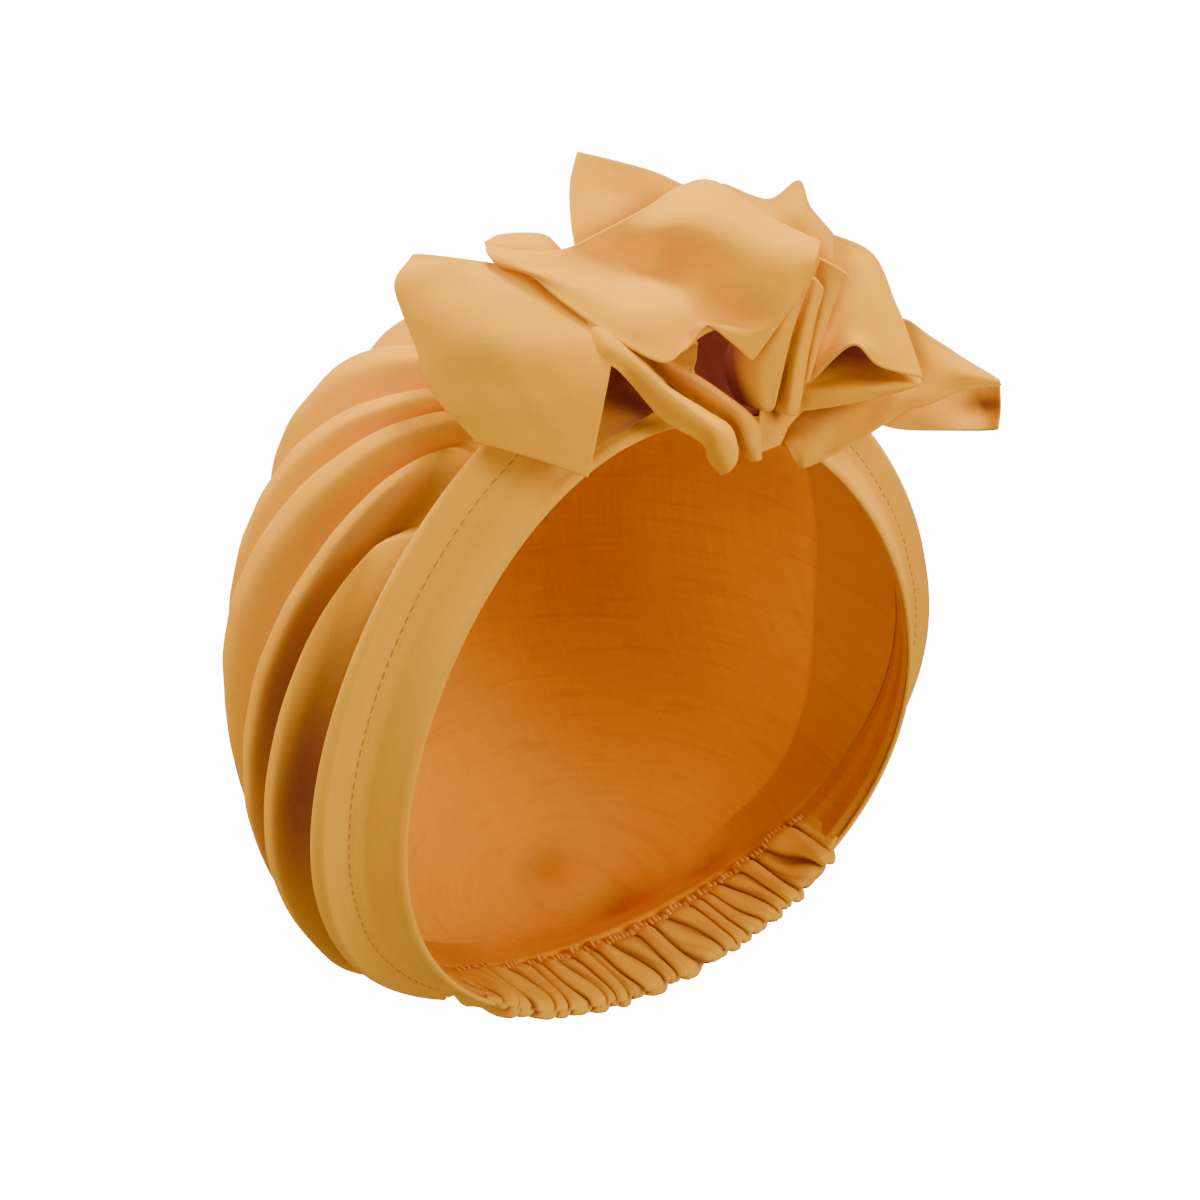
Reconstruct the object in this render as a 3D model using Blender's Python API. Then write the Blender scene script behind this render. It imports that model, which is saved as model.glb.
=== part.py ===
"""A turban hat of thin woven cloth: a cap laid in deep folds, a smooth lining, a plain double hem,
a gathered casing across the nape and a bow of stacked loops over the brow.

The hat sits upright as it is worn. Its origin is the middle of the head opening, +Z is up, the face
looks toward -Y and +X is the wearer's left. The opening lies in the rim's own plane, which rises from
nape to brow, so points of the cap are worked out as (across, forward, up the dome) and then turned.
"""
from math import cos, pi, radians, sin

import bmesh
import bpy
import numpy as np
from mathutils import Matrix

# Driving dimensions in metres, angles in degrees
HEAD_HALF_WIDTH = 0.0825
HEAD_HALF_LENGTH = 0.092
BROW_NARROWING = 0.15
RIM_TILT = 48.0
RIM_SIDE_DIP = 0.0017

DOME_HALF_WIDTH = 0.0945
DOME_HALF_LENGTH = 0.108
DOME_RISE = 0.096
DOME_CENTRE_HEIGHT = 0.038

HEM_WIDTH = 0.021
HEM_WALL = 0.0024
HEM_EDGE_LIFT = 0.0040
FLARE_SIDE = 37.0
FLARE_BROW = 28.0
FLARE_NAPE = -3.0

CROWN_WALL = 0.0016
CROWN_TUCK = 0.0030
LINING_WALL = 0.0012
LINING_TUCK = 0.0060
LINING_EASE = 0.0016
LAYER_GAP = 0.0008
# The lining's outer face, under the middle of the hem's cloth
LINING_LEVEL = -HEM_WALL / 2 - LAYER_GAP

NAPE_HALF_ANGLE = 39.0
NAPE_WALL = 0.0022
NAPE_RUFFLES = 15
NAPE_RUFFLE_DEPTH = 0.0013
NAPE_DROP = 0.0050
END_GAP = 0.0006

BOW_SPAN = 0.157
BOW_ANGLE = 28.0
BOW_SEAT = 0.0050
BOW_STAND_OFF = 0.006
BOW_YAW = -30.2
BOW_LIFT = -5.2
BOW_ROLL = -23.2
BOW_WALL = 0.0011
BOW_TAPER = 0.0035

# The folds of the crown, a row for each crest. The place is the share of the way from the left edge of
# the crown (-1) to the right edge (1), where the fold leaves the bow, at the side of the head and at the
# nape. The height is the crest's rise over the cloth beside it, in metres.
#  at bow, at side, at nape, height
FOLDS = (
    (-0.95, -0.88, -0.75, 0.0078),
    (-0.76, -0.80, -0.58, 0.0062),
    (-0.60, -0.62, -0.42, 0.0062),
    (-0.52, -0.48, -0.28, 0.0040),
    (-0.44, -0.22, -0.12, 0.0080),
    (-0.22, -0.04, 0.00, 0.0045),
    (0.02, 0.12, 0.10, 0.0050),
    (0.24, 0.27, 0.20, 0.0045),
    (0.44, 0.43, 0.33, 0.0055),
    (0.60, 0.60, 0.47, 0.0060),
    (0.77, 0.77, 0.61, 0.0065),
    (0.94, 0.89, 0.77, 0.0075),
)
FOLD_STEPS = 6
CROWN_ROWS = 13

# The bow's cloths. Each row is a section across the cloth and each entry a point of it, given as
# (across, up, out) in sixtieths of the bow's span from the middle of the bow's root: across runs to the
# wearer's left, out comes off the face of the bow.
LEFT_LOOP = (
    ((-17.8, 11.8, 9.4), (-23.4, 14.4, 11.1), (-30.0, 15.4, 10.6), (-34.2, 15.7, 7.6), (-31.0, 14.6, 5.6),
     (-25.0, 12.0, 5.0)),
    ((-16.0, 9.0, 11.9), (-21.6, 9.6, 12.6), (-29.0, 13.0, 12.6), (-35.9, 12.7, 8.6), (-28.0, 11.5, 6.4),
     (-17.0, 7.0, 6.0)),
    ((-14.8, 5.8, 14.4), (-21.5, 6.5, 15.2), (-29.0, 8.0, 14.8), (-34.2, 7.5, 10.0), (-27.5, 7.0, 7.8),
     (-15.0, 3.0, 8.4)),
    ((-15.5, 1.2, 14.6), (-21.5, 1.5, 15.2), (-28.0, 2.8, 14.4), (-32.4, 2.5, 11.2), (-27.0, 1.5, 10.2),
     (-15.5, -0.6, 10.8)),
    ((-17.0, -6.0, 13.8), (-21.5, -4.4, 14.0), (-25.0, -3.4, 13.8), (-28.0, -2.5, 12.6), (-24.0, -3.2, 12.2),
     (-17.4, -5.4, 12.4)),
)
LEFT_FOLD = (
    ((-15.4, 5.0, 11.9), (-15.0, 6.2, 12.9), (-15.2, 7.6, 12.4), (-16.0, 8.4, 10.6)),
    ((-13.2, 3.4, 11.2), (-12.4, 4.8, 12.4), (-12.4, 6.0, 12.4), (-13.0, 6.8, 10.8)),
    ((-9.5, -0.2, 10.4), (-8.6, 1.0, 11.8), (-8.6, 2.2, 12.0), (-9.2, 3.0, 10.4)),
    ((-5.6, -2.6, 8.6), (-4.8, -1.6, 10.0), (-4.8, -0.6, 10.2), (-5.2, 0.4, 8.8)),
    ((-4.8, -4.4, 7.8), (-3.8, -3.4, 9.2), (-3.0, -2.2, 9.2), (-2.8, -1.2, 8.0)),
    ((-3.6, -5.8, 7.6), (-2.8, -5.4, 8.4), (-2.2, -4.6, 8.4), (-2.0, -3.4, 7.8)),
)
MIDDLE_FOLD = (
    ((-13.0, 7.4, 9.6), (-12.0, 7.2, 11.2), (-11.0, 6.4, 11.0), (-9.8, 5.4, 9.6)),
    ((-9.4, 3.8, 8.6), (-8.8, 4.4, 10.0), (-8.0, 4.6, 10.0), (-7.4, 4.6, 8.8)),
    ((-5.6, 1.0, 7.0), (-4.9, 1.8, 8.4), (-4.2, 2.2, 8.4), (-3.6, 2.2, 7.4)),
    ((-3.0, -0.8, 5.8), (-2.2, 0.0, 7.2), (-1.2, -0.2, 7.2), (-0.2, -0.6, 6.2)),
    ((-1.8, -3.2, 5.6), (-1.0, -2.8, 6.6), (-0.2, -2.8, 6.6), (0.2, -3.0, 5.8)),
    ((-0.6, -4.4, 5.6), (-0.2, -4.4, 6.0), (0.0, -4.4, 6.0), (0.3, -4.3, 5.6)),
)
SMALL_LOOP = (
    ((-26.6, 16.8, 10.2), (-26.2, 16.2, 10.6), (-25.4, 15.2, 10.4)),
    ((-25.0, 17.6, 9.6), (-24.4, 16.4, 9.2), (-23.4, 14.8, 9.0)),
    ((-21.4, 17.7, 8.0), (-21.2, 16.0, 7.4), (-20.6, 13.0, 6.8)),
    ((-19.7, 16.3, 7.0), (-19.4, 14.6, 6.6), (-18.8, 11.6, 6.2)),
)
TOP_LOOP = (
    ((-17.8, 25.7, 3.0), (-18.5, 22.6, 4.6), (-18.4, 19.0, 6.2), (-17.8, 15.4, 7.4)),
    ((-14.4, 24.9, 2.0), (-14.8, 22.0, 3.0), (-14.8, 18.6, 4.6), (-14.2, 14.4, 5.0)),
    ((-10.4, 23.8, 1.2), (-10.6, 21.4, 1.8), (-10.4, 18.0, 2.0), (-9.8, 13.0, 1.4)),
    ((-7.2, 22.4, 3.85), (-7.2, 20.6, 4.2), (-6.8, 17.2, 3.4), (-6.2, 12.0, 2.2)),
)
CENTRE_SWATH = (
    ((-26.9, 16.6, 10.8), (-23.4, 16.1, 11.4), (-19.4, 16.2, 10.2), (-15.4, 18.0, 8.6), (-11.2, 20.2, 6.6),
     (-7.6, 22.4, 4.6), (-4.2, 22.8, 4.0), (1.0, 19.4, 5.0), (6.0, 17.0, 6.6)),
    ((-26.8, 16.0, 11.8), (-23.2, 15.2, 12.6), (-19.2, 15.0, 11.2), (-15.0, 15.8, 9.6), (-10.6, 17.4, 8.4),
     (-6.6, 19.0, 7.4), (-2.4, 18.6, 7.4), (1.8, 16.4, 7.8), (5.6, 15.4, 7.6)),
    ((-26.4, 15.4, 12.2), (-22.8, 14.6, 12.8), (-18.6, 13.8, 10.4), (-14.2, 13.8, 7.4), (-9.6, 14.0, 5.6),
     (-5.2, 14.2, 4.8), (-1.0, 13.6, 5.4), (2.4, 13.0, 6.6), (4.6, 13.6, 7.2)),
    ((-26.0, 15.0, 12.2), (-22.4, 14.0, 13.2), (-18.0, 12.4, 12.8), (-13.6, 10.6, 11.8), (-9.4, 9.8, 10.4),
     (-5.4, 10.2, 8.0), (-1.6, 9.4, 7.0), (1.4, 9.2, 7.0), (3.0, 10.4, 7.4)),
    ((-25.4, 14.7, 11.8), (-22.4, 13.8, 12.8), (-19.4, 11.3, 13.6), (-15.0, 8.2, 13.8), (-9.8, 5.4, 12.6),
     (-7.4, 6.4, 10.4), (-5.2, 8.8, 9.2), (-2.6, 7.3, 8.2), (-0.6, 5.5, 7.8)),
)
PLEAT_1 = (
    ((5.8, 16.6, 5.9), (6.0, 15.8, 6.2), (6.0, 14.6, 5.8)),
    ((3.4, 11.6, 6.3), (4.2, 11.6, 6.2), (4.6, 11.8, 5.6)),
    ((1.4, 7.4, 4.8), (2.4, 7.6, 6.0), (3.4, 8.0, 5.4)),
    ((-2.4, 4.8, 3.6), (0.4, 4.2, 5.4), (2.4, 3.8, 4.9)),
    ((-1.4, 1.4, 3.6), (0.2, 1.2, 5.0), (1.6, 1.0, 4.6)),
    ((0.0, 0.6, 3.8), (0.6, 0.5, 4.4), (1.3, 0.5, 4.2)),
)
PLEAT_2 = (
    ((5.2, 13.6, 3.6), (5.8, 13.2, 4.6), (6.4, 12.4, 4.2)),
    ((4.0, 9.6, 3.4), (4.8, 9.6, 4.6), (5.6, 9.6, 4.0)),
    ((2.8, 5.2, 3.0), (3.8, 5.4, 4.4), (4.8, 5.6, 3.8)),
    ((2.2, 1.6, 2.6), (3.2, 1.6, 4.0), (4.2, 1.6, 3.4)),
    ((2.0, 0.5, 2.6), (2.9, 0.2, 3.4), (3.8, 0.1, 3.1)),
)
PLEAT_3 = (
    ((6.0, 15.4, 3.2), (7.2, 14.8, 3.4), (8.8, 13.8, 3.2)),
    ((5.8, 12.8, 2.6), (6.8, 12.4, 3.0), (8.0, 12.6, 2.8)),
    ((5.2, 9.0, 1.8), (6.0, 9.0, 2.7), (6.8, 9.2, 2.3)),
    ((4.6, 5.6, 1.4), (5.2, 5.8, 2.4), (5.8, 6.2, 2.0)),
    ((4.3, 3.0, 1.2), (4.7, 3.2, 2.0), (5.1, 3.6, 1.7)),
)
BACK_LOOP = (
    ((-3.4, 22.6, 0.0), (-2.6, 18.0, 1.2), (-1.0, 12.0, 1.4)),
    ((1.0, 21.1, -0.8), (1.4, 17.0, 1.2), (1.4, 11.0, 1.2)),
    ((4.0, 22.9, -0.2), (4.0, 17.4, 1.6), (3.4, 10.6, 1.0)),
    ((5.1, 20.4, 0.4), (5.2, 16.4, 1.6), (4.8, 10.2, 0.8)),
    ((7.3, 17.8, 0.0), (7.2, 14.6, 1.0), (6.0, 9.6, 0.0)),
)
RIGHT_LOOP = (
    ((4.4, 3.6, 0.0), (5.4, 9.2, -1.0), (6.2, 14.0, -0.8), (6.4, 18.0, -1.4)),
    ((4.6, 3.6, 0.6), (7.4, 8.6, 1.0), (9.8, 13.0, 0.6), (11.2, 15.8, -0.8)),
    ((4.7, 3.5, 0.8), (8.2, 7.6, 2.2), (11.4, 9.8, 1.6), (13.5, 11.0, -0.4)),
    ((4.8, 3.4, 0.8), (9.2, 7.5, 3.0), (12.4, 6.2, 2.2), (14.6, 8.4, 0.0)),
    ((5.0, 3.2, 0.6), (9.3, 7.0, 3.4), (12.0, 5.0, 2.6), (16.2, 3.8, 0.8)),
)
RIGHT_UNDER = (
    ((5.0, 7.8, -1.6), (8.8, 8.2, -1.9), (12.0, 7.0, -1.6), (15.0, 5.0, -0.9)),
    ((3.6, 3.0, -0.4), (8.0, 4.1, -0.8), (12.0, 3.8, -0.4), (16.1, 3.3, 0.0)),
    ((3.4, 2.0, 0.4), (8.0, 2.6, 1.6), (12.0, 2.8, 1.6), (15.6, 3.0, 0.2)),
    ((3.4, 0.4, 0.0), (7.6, 1.0, 0.8), (11.6, 1.8, 0.8), (14.6, 2.6, -0.2)),
)
FAR_RIGHT_LOOP = (
    ((23.8, 3.5, -1.6), (23.9, 3.3, -1.4), (24.0, 3.0, -1.6)),
    ((20.6, 5.4, -1.8), (20.8, 4.0, -0.6), (20.5, 2.6, -1.0)),
    ((17.2, 7.6, -2.4), (17.4, 4.6, -1.2), (17.0, 1.2, -0.8)),
    ((14.0, 9.3, -2.8), (14.6, 4.8, -2.6), (14.6, 0.5, -1.2)),
    ((11.4, 5.0, -3.6), (11.6, 2.0, -2.4), (11.5, -1.5, -0.4)),
    ((8.4, 2.4, -2.8), (8.4, -0.4, -1.0), (8.0, -3.6, 0.4)),
    ((4.6, 0.2, -1.4), (5.0, -2.4, 0.4), (5.0, -5.0, 0.4)),
    ((2.4, -2.3, -0.6), (3.2, -3.4, 0.2), (4.2, -5.0, 0.0)),
)
FAR_RIGHT_BACK = (
    ((11.4, 1.2, -3.8), (11.6, 0.2, -3.4), (12.0, -0.8, -3.6)),
    ((14.8, 1.8, -4.4), (14.8, 0.2, -3.8), (14.6, -1.3, -3.8)),
    ((18.4, 2.6, -4.6), (18.6, 0.4, -4.0), (18.6, -1.4, -3.6)),
    ((21.6, 3.2, -4.0), (22.0, 0.8, -3.6), (22.2, -1.4, -3.0)),
    ((23.9, 3.0, -2.15), (24.0, 0.8, -2.4), (23.8, -1.3, -2.2)),
)
PETAL = (
    ((0.4, 0.6, 2.2), (2.0, 0.6, 1.9), (3.4, 0.4, 0.7)),
    ((0.2, -1.0, 2.6), (1.6, -1.2, 2.2), (2.8, -1.4, 0.8)),
    ((0.2, -3.6, 2.8), (1.2, -3.2, 2.2), (2.2, -2.8, 1.0)),
)
# The root's middle in the bow's frame and its three radii, in the same sixtieths
ROOT_PLACE = (2.0, -0.5, -0.5)
ROOT_RADII = (1.30, 1.24, 1.24)
BOW_CLOTHS = (
    # node, sections, points along, points across
    ("bow_left_loop", LEFT_LOOP, 11, 15),
    ("bow_left_fold", LEFT_FOLD, 10, 6),
    ("bow_middle_fold", MIDDLE_FOLD, 10, 6),
    ("bow_small_loop", SMALL_LOOP, 7, 4),
    ("bow_top_loop", TOP_LOOP, 8, 7),
    ("bow_centre_swath", CENTRE_SWATH, 10, 18),
    ("bow_pleat_1", PLEAT_1, 11, 4),
    ("bow_pleat_2", PLEAT_2, 9, 4),
    ("bow_pleat_3", PLEAT_3, 8, 4),
    ("bow_back_loop", BACK_LOOP, 9, 6),
    ("bow_right_loop", RIGHT_LOOP, 9, 9),
    ("bow_right_under", RIGHT_UNDER, 7, 7),
    ("bow_far_right_loop", FAR_RIGHT_LOOP, 14, 5),
    ("bow_far_right_back", FAR_RIGHT_BACK, 9, 5),
    ("bow_petal", PETAL, 5, 5),
)

# Colours seen on the cloth, and how rough it is
MUSTARD = (0.66, 0.41, 0.15)
MUSTARD_BAND = (0.60, 0.37, 0.14)
LINING_ORANGE = (0.68, 0.26, 0.04)
CLOTH_ROUGHNESS = 0.75


def rim_basis():
    """The rim plane's own axes as rows: across the head, forward in the plane, up the dome."""
    tilt = radians(RIM_TILT)
    return np.array([[1.0, 0.0, 0.0], [0.0, -cos(tilt), sin(tilt)], [0.0, sin(tilt), cos(tilt)]])


def smooth(t):
    """A soft step from 0 to 1."""
    t = np.clip(t, 0.0, 1.0)
    return t * t * (3.0 - 2.0 * t)


def flare(angle):
    """How far the hem leans out from the dome's axis, by the angle round the head from the brow."""
    side, brow, nape = radians(FLARE_SIDE), radians(FLARE_BROW), radians(FLARE_NAPE)
    sideways = np.sin(angle) ** 2
    ends = np.where(np.cos(angle) > 0.0, brow, nape)
    return ends + (side - ends) * sideways


def hem_point(angle, rise):
    """A point of the hem, its rise measured along the cloth from the rim's edge."""
    out = rise * np.sin(flare(angle))
    across = (HEAD_HALF_WIDTH + out) * np.sin(angle) * (1.0 - BROW_NARROWING * np.cos(angle))
    forward = (HEAD_HALF_LENGTH + out) * np.cos(angle)
    up = RIM_SIDE_DIP * np.cos(2.0 * angle) + rise * np.cos(flare(angle))
    return np.stack([across, forward, up], -1)


def dome_point(angle, polar):
    """A point of the plain dome, its polar angle counted from the top of the dome."""
    angle, polar = np.broadcast_arrays(angle, polar)
    across = DOME_HALF_WIDTH * np.sin(polar) * np.sin(angle)
    forward = DOME_HALF_LENGTH * np.sin(polar) * np.cos(angle)
    up = DOME_CENTRE_HEIGHT + DOME_RISE * np.cos(polar)
    return np.stack([across, forward, up], -1)


def shell_point(angle, way):
    """The cap's plain shell: way 0 is the top of the dome, 1 the hem's back edge and 2 the rim."""
    angle, way = np.broadcast_arrays(np.asarray(angle, float), np.asarray(way, float))
    hem_rise = HEM_WIDTH * cos(radians(FLARE_SIDE))
    last = np.arccos(np.clip((hem_rise - DOME_CENTRE_HEIGHT) / DOME_RISE, -1.0, 1.0))
    share = np.clip(way, 0.0, 1.0)
    seam = hem_point(angle, HEM_WIDTH) - dome_point(angle, last)
    dome = dome_point(angle, share * last) + (share ** 4)[..., None] * seam
    hem = hem_point(angle, HEM_WIDTH * (2.0 - np.clip(way, 1.0, 2.5)))
    return np.where((way <= 1.0)[..., None], dome, hem)


def shell_normal(angle, way):
    """The outward direction of the plain shell, from small steps either side of the point."""
    step = 0.004
    way = np.maximum(way, 0.03)
    along = shell_point(angle, way + step) - shell_point(angle, way - step)
    around = shell_point(angle + step, way) - shell_point(angle - step, way)
    normal = np.cross(along, around)
    normal /= np.linalg.norm(normal, axis=-1, keepdims=True)
    inward = np.sum(normal * (shell_point(angle, way) - np.array([0.0, 0.0, DOME_CENTRE_HEIGHT])), -1)
    return normal * np.where(inward < 0.0, -1.0, 1.0)[..., None]


def raised(angle, way, height):
    """Points at a height over the plain shell, in the world."""
    local = shell_point(angle, way) + shell_normal(angle, way) * np.asarray(height)[..., None]
    return local @ rim_basis()


def fabric(name, colour):
    """A plain cloth material."""
    material = bpy.data.materials.new(name)
    material.use_nodes = True
    shader = material.node_tree.nodes["Principled BSDF"]
    shader.inputs["Base Color"].default_value = (*colour, 1.0)
    shader.inputs["Roughness"].default_value = CLOTH_ROUGHNESS
    shader.inputs["Metallic"].default_value = 0.0
    material.diffuse_color = (*colour, 1.0)
    return material


def finished(name, body, colour):
    """The named object for a finished body, facing out and in triangles."""
    bmesh.ops.recalc_face_normals(body, faces=body.faces[:])
    bmesh.ops.triangulate(body, faces=body.faces[:])
    mesh = bpy.data.meshes.new(name)
    body.to_mesh(mesh)
    body.free()
    mesh.materials.append(fabric(name + "_cloth", colour))
    piece = bpy.data.objects.new(name, mesh)
    bpy.context.scene.collection.objects.link(piece)
    return piece


def cloth_solid(name, front, back, colour):
    """One closed wall between two grids of points, its four edges closed too."""
    rows, columns = front.shape[:2]
    body = bmesh.new()
    near, far = ([[body.verts.new(point) for point in row] for row in grid.tolist()] for grid in (front, back))
    for i in range(rows - 1):
        for j in range(columns - 1):
            body.faces.new((near[i][j], near[i + 1][j], near[i + 1][j + 1], near[i][j + 1]))
            body.faces.new((far[i][j + 1], far[i + 1][j + 1], far[i + 1][j], far[i][j]))
    for i in range(rows - 1):
        body.faces.new((near[i + 1][0], near[i][0], far[i][0], far[i + 1][0]))
        body.faces.new((near[i][-1], near[i + 1][-1], far[i + 1][-1], far[i][-1]))
    for j in range(columns - 1):
        body.faces.new((near[0][j], near[0][j + 1], far[0][j + 1], far[0][j]))
        body.faces.new((near[-1][j + 1], near[-1][j], far[-1][j], far[-1][j + 1]))
    return finished(name, body, colour)


def disc_point(along, across):
    """Where a fold lies on the flattened crown: along runs from the bow (0) to the nape (1).

    Lines of equal across leave the brow's short arc, spread over the head and meet the nape's arc.
    The disc's middle is the top of the dome and its edge is the crown's lower edge.
    """
    brow, nape = radians(BOW_ANGLE), radians(NAPE_HALF_ANGLE)
    middle = cos(brow) - (cos(brow) + cos(nape)) * along
    half_arc = brow * (1.0 - along) + nape * along
    sideways = np.sqrt(1.0 - middle ** 2) * np.sin(half_arc * across) / np.sin(half_arc)
    forward = middle + (1.0 - along) ** 2 * (np.cos(brow * across) - cos(brow))
    forward = forward - along ** 2 * (np.cos(nape * across) - cos(nape))
    return sideways, forward


def fold_place(row, along):
    """A fold's place across the crown, on a parabola through its three given places."""
    bow, side, nape = row[:3]
    return bow * (1 - along) * (1 - 2 * along) + side * 4 * along * (1 - along) + nape * along * (2 * along - 1)


def crown():
    """The outer cloth: its grid lines follow the crests and valleys of the folds."""
    along = np.linspace(0.0, 1.0, CROWN_ROWS) ** 1.15
    crests = [fold_place(row, along) for row in FOLDS]
    edges = [np.full_like(along, -1.0)] + crests + [np.full_like(along, 1.0)]
    heights = [0.0] + [row[3] for row in FOLDS] + [0.0]
    across, height = [], []
    for number in range(len(edges) - 1):
        first, second = edges[number], edges[number + 1]
        for step in range(FOLD_STEPS):
            share = step / FOLD_STEPS
            rise = abs(1.0 - 2.0 * share) ** 1.5
            crest = heights[number] if share < 0.5 else heights[number + 1]
            across.append(first + (second - first) * share)
            height.append(np.full_like(along, crest * rise))
    across.append(edges[-1])
    height.append(np.zeros_like(along))
    across, height = np.stack(across, 1), np.stack(height, 1)
    along = np.broadcast_to(along[:, None], across.shape)
    sideways, forward = disc_point(along, across)
    angle = np.arctan2(sideways, forward)
    way = np.hypot(sideways, forward)
    strength = smooth((0.985 - way) / 0.055) * (0.4 + 0.6 * smooth(along / 0.15)) * smooth((1.0 - along) / 0.2)
    way = way + CROWN_TUCK / HEM_WIDTH * smooth((way - 0.95) / 0.05)
    inner = LINING_LEVEL + LAYER_GAP
    height = height * strength
    front = raised(angle, way, height + inner + CROWN_WALL)
    back = raised(angle, way, height + inner)
    return cloth_solid("crown", front, back, MUSTARD)



def lining():
    """The smooth inner cap, tucked inside the hem."""
    way = np.concatenate([np.linspace(0.06, 0.93, 7), [0.975, 1.0, 1.03, 1.0 + LINING_TUCK / HEM_WIDTH]])
    angle = np.linspace(0.0, 2.0 * pi, 36, endpoint=False)
    angle, way = np.meshgrid(angle, way, indexing="ij")
    level = LINING_LEVEL - LINING_EASE * smooth((1.04 - way) / 0.1)
    front, back = raised(angle, way, level), raised(angle, way, level - LINING_WALL)
    return cap_solid("lining", front, back, LINING_ORANGE)


def cap_solid(name, front, back, colour):
    """A closed cap from two grids that run round the head, each finished by one point at the top."""
    columns, rows = front.shape[:2]
    body = bmesh.new()
    sides = []
    for grid in (front, back):
        verts = [[body.verts.new(point) for point in line] for line in grid.tolist()]
        top = body.verts.new(grid[:, 0].mean(0) + (grid[:, 0].mean(0) - grid[:, 1].mean(0)) * 0.3)
        sides.append(verts)
        for i in range(columns):
            k = (i + 1) % columns
            body.faces.new((verts[i][0], verts[k][0], top))
            for j in range(rows - 1):
                body.faces.new((verts[i][j], verts[k][j], verts[k][j + 1], verts[i][j + 1]))
    for i in range(columns):
        k = (i + 1) % columns
        body.faces.new((sides[0][i][-1], sides[0][k][-1], sides[1][k][-1], sides[1][i][-1]))
    return finished(name, body, colour)


def brow_band():
    """The double hem: flat at the rim, lifted to a crest along its back edge."""
    way = np.array([2.0, 1.7, 1.4, 1.2, 1.1, 1.0])
    half = pi - radians(NAPE_HALF_ANGLE) - END_GAP / HEAD_HALF_LENGTH
    angle = np.linspace(-half, half, 47)
    angle, way = np.meshgrid(angle, way, indexing="ij")
    clear = CROWN_WALL + LAYER_GAP + LINING_LEVEL + LAYER_GAP + HEM_WALL / 2
    level = clear * smooth((1.5 - way) / 0.35) + (HEM_EDGE_LIFT - clear) * smooth((1.12 - way) / 0.12)
    front, back = raised(angle, way, level + HEM_WALL / 2), raised(angle, way, level - HEM_WALL / 2)
    return cloth_solid("brow_band", front, back, MUSTARD_BAND)


def nape_gather():
    """The elastic casing, ruffled along the nape and a little longer than the hem."""
    way = np.array([2.0 + NAPE_DROP / HEM_WIDTH, 1.8, 1.5, 1.25, 1.06])
    half = radians(NAPE_HALF_ANGLE)
    angle = np.linspace(pi - half, pi + half, 4 * NAPE_RUFFLES + 1)
    angle, way = np.meshgrid(angle, way, indexing="ij")
    turn = (angle - pi + half) / (2.0 * half) * NAPE_RUFFLES * 2.0 * pi
    clear = CROWN_WALL + LAYER_GAP + LINING_LEVEL + LAYER_GAP + NAPE_WALL / 2 + NAPE_RUFFLE_DEPTH * 0.5
    level = clear * smooth((1.7 - way) / 0.4)
    depth = NAPE_RUFFLE_DEPTH * (0.3 + 0.7 * smooth((way - 1.1) / 0.5))
    level = level + depth * np.sin(turn)
    front, back = raised(angle, way, level + NAPE_WALL / 2), raised(angle, way, level - NAPE_WALL / 2)
    return cloth_solid("nape_gather", front, back, MUSTARD_BAND)


def bow_frame():
    """The bow's own axes and the middle of its root, in the world."""
    yaw, lift, roll = radians(BOW_YAW), radians(BOW_LIFT), radians(BOW_ROLL)
    out = np.array([sin(yaw) * cos(lift), -cos(yaw) * cos(lift), sin(lift)])
    level = np.array([cos(yaw), sin(yaw), 0.0])
    upright = np.cross(out, level)
    across = level * cos(roll) + upright * sin(roll)
    up = upright * cos(roll) - level * sin(roll)
    seat = raised(radians(BOW_ANGLE), 2.0 - BOW_SEAT / HEM_WIDTH, 0.0)
    return seat + out * BOW_STAND_OFF, across, up, out


def bow_points(sections):
    """Points in the bow's frame turned into the world; the bow draws in a little as it comes forward."""
    root, across, up, out = bow_frame()
    unit = BOW_SPAN / 60.0
    table = np.array(sections) * unit
    draw = 1.0 - BOW_TAPER * table[..., 2:] / unit
    return root + (table[..., :1] * across + table[..., 1:2] * up) * draw + table[..., 2:] * out


def spline(points, count):
    """Even samples of the smooth curve through the points, taken along the first index."""
    first, last = 2 * points[0] - points[1], 2 * points[-1] - points[-2]
    padded = np.concatenate([first[None], points, last[None]])
    place = np.linspace(0.0, len(points) - 1.0, count)
    start = np.minimum(place.astype(int), len(points) - 2)
    t = (place - start).reshape((-1,) + (1,) * (points.ndim - 1))
    a, b, c, d = (padded[start + k] for k in range(4))
    curve = 2 * b + (c - a) * t + (2 * a - 5 * b + 4 * c - d) * t ** 2 + (3 * b - a - 3 * c + d) * t ** 3
    return curve / 2


def bow_cloth(name, sections, rows, columns):
    """One cloth of the bow: a smooth sheet through its sections, given its wall."""
    net = spline(bow_points(sections), rows)
    net = spline(net.swapaxes(0, 1), columns).swapaxes(0, 1)
    normal = np.cross(np.gradient(net, axis=0), np.gradient(net, axis=1))
    normal /= np.linalg.norm(normal, axis=-1, keepdims=True)
    half = normal * BOW_WALL / 2
    return cloth_solid(name, net + half, net - half, MUSTARD)


def bow_root():
    """The sewn gather under the bow, a small pad on the hem."""
    middle = bow_points(((ROOT_PLACE,),))[0, 0]
    _, across, up, out = bow_frame()
    turn = Matrix(np.array([across, up, out]).T.tolist()).to_4x4()
    size = Matrix.Diagonal((*[BOW_SPAN / 60.0 * radius for radius in ROOT_RADII], 1.0))
    body = bmesh.new()
    bmesh.ops.create_icosphere(body, subdivisions=2, radius=1.0, matrix=Matrix.Translation(middle) @ turn @ size)
    return finished("bow_root", body, MUSTARD)


def main():
    """Clear the scene and build every piece."""
    for old in list(bpy.data.objects):
        bpy.data.objects.remove(old, do_unlink=True)
    crown()
    lining()
    brow_band()
    nape_gather()
    bow_root()
    for name, sections, rows, columns in BOW_CLOTHS:
        bow_cloth(name, sections, rows, columns)


main()
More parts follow.
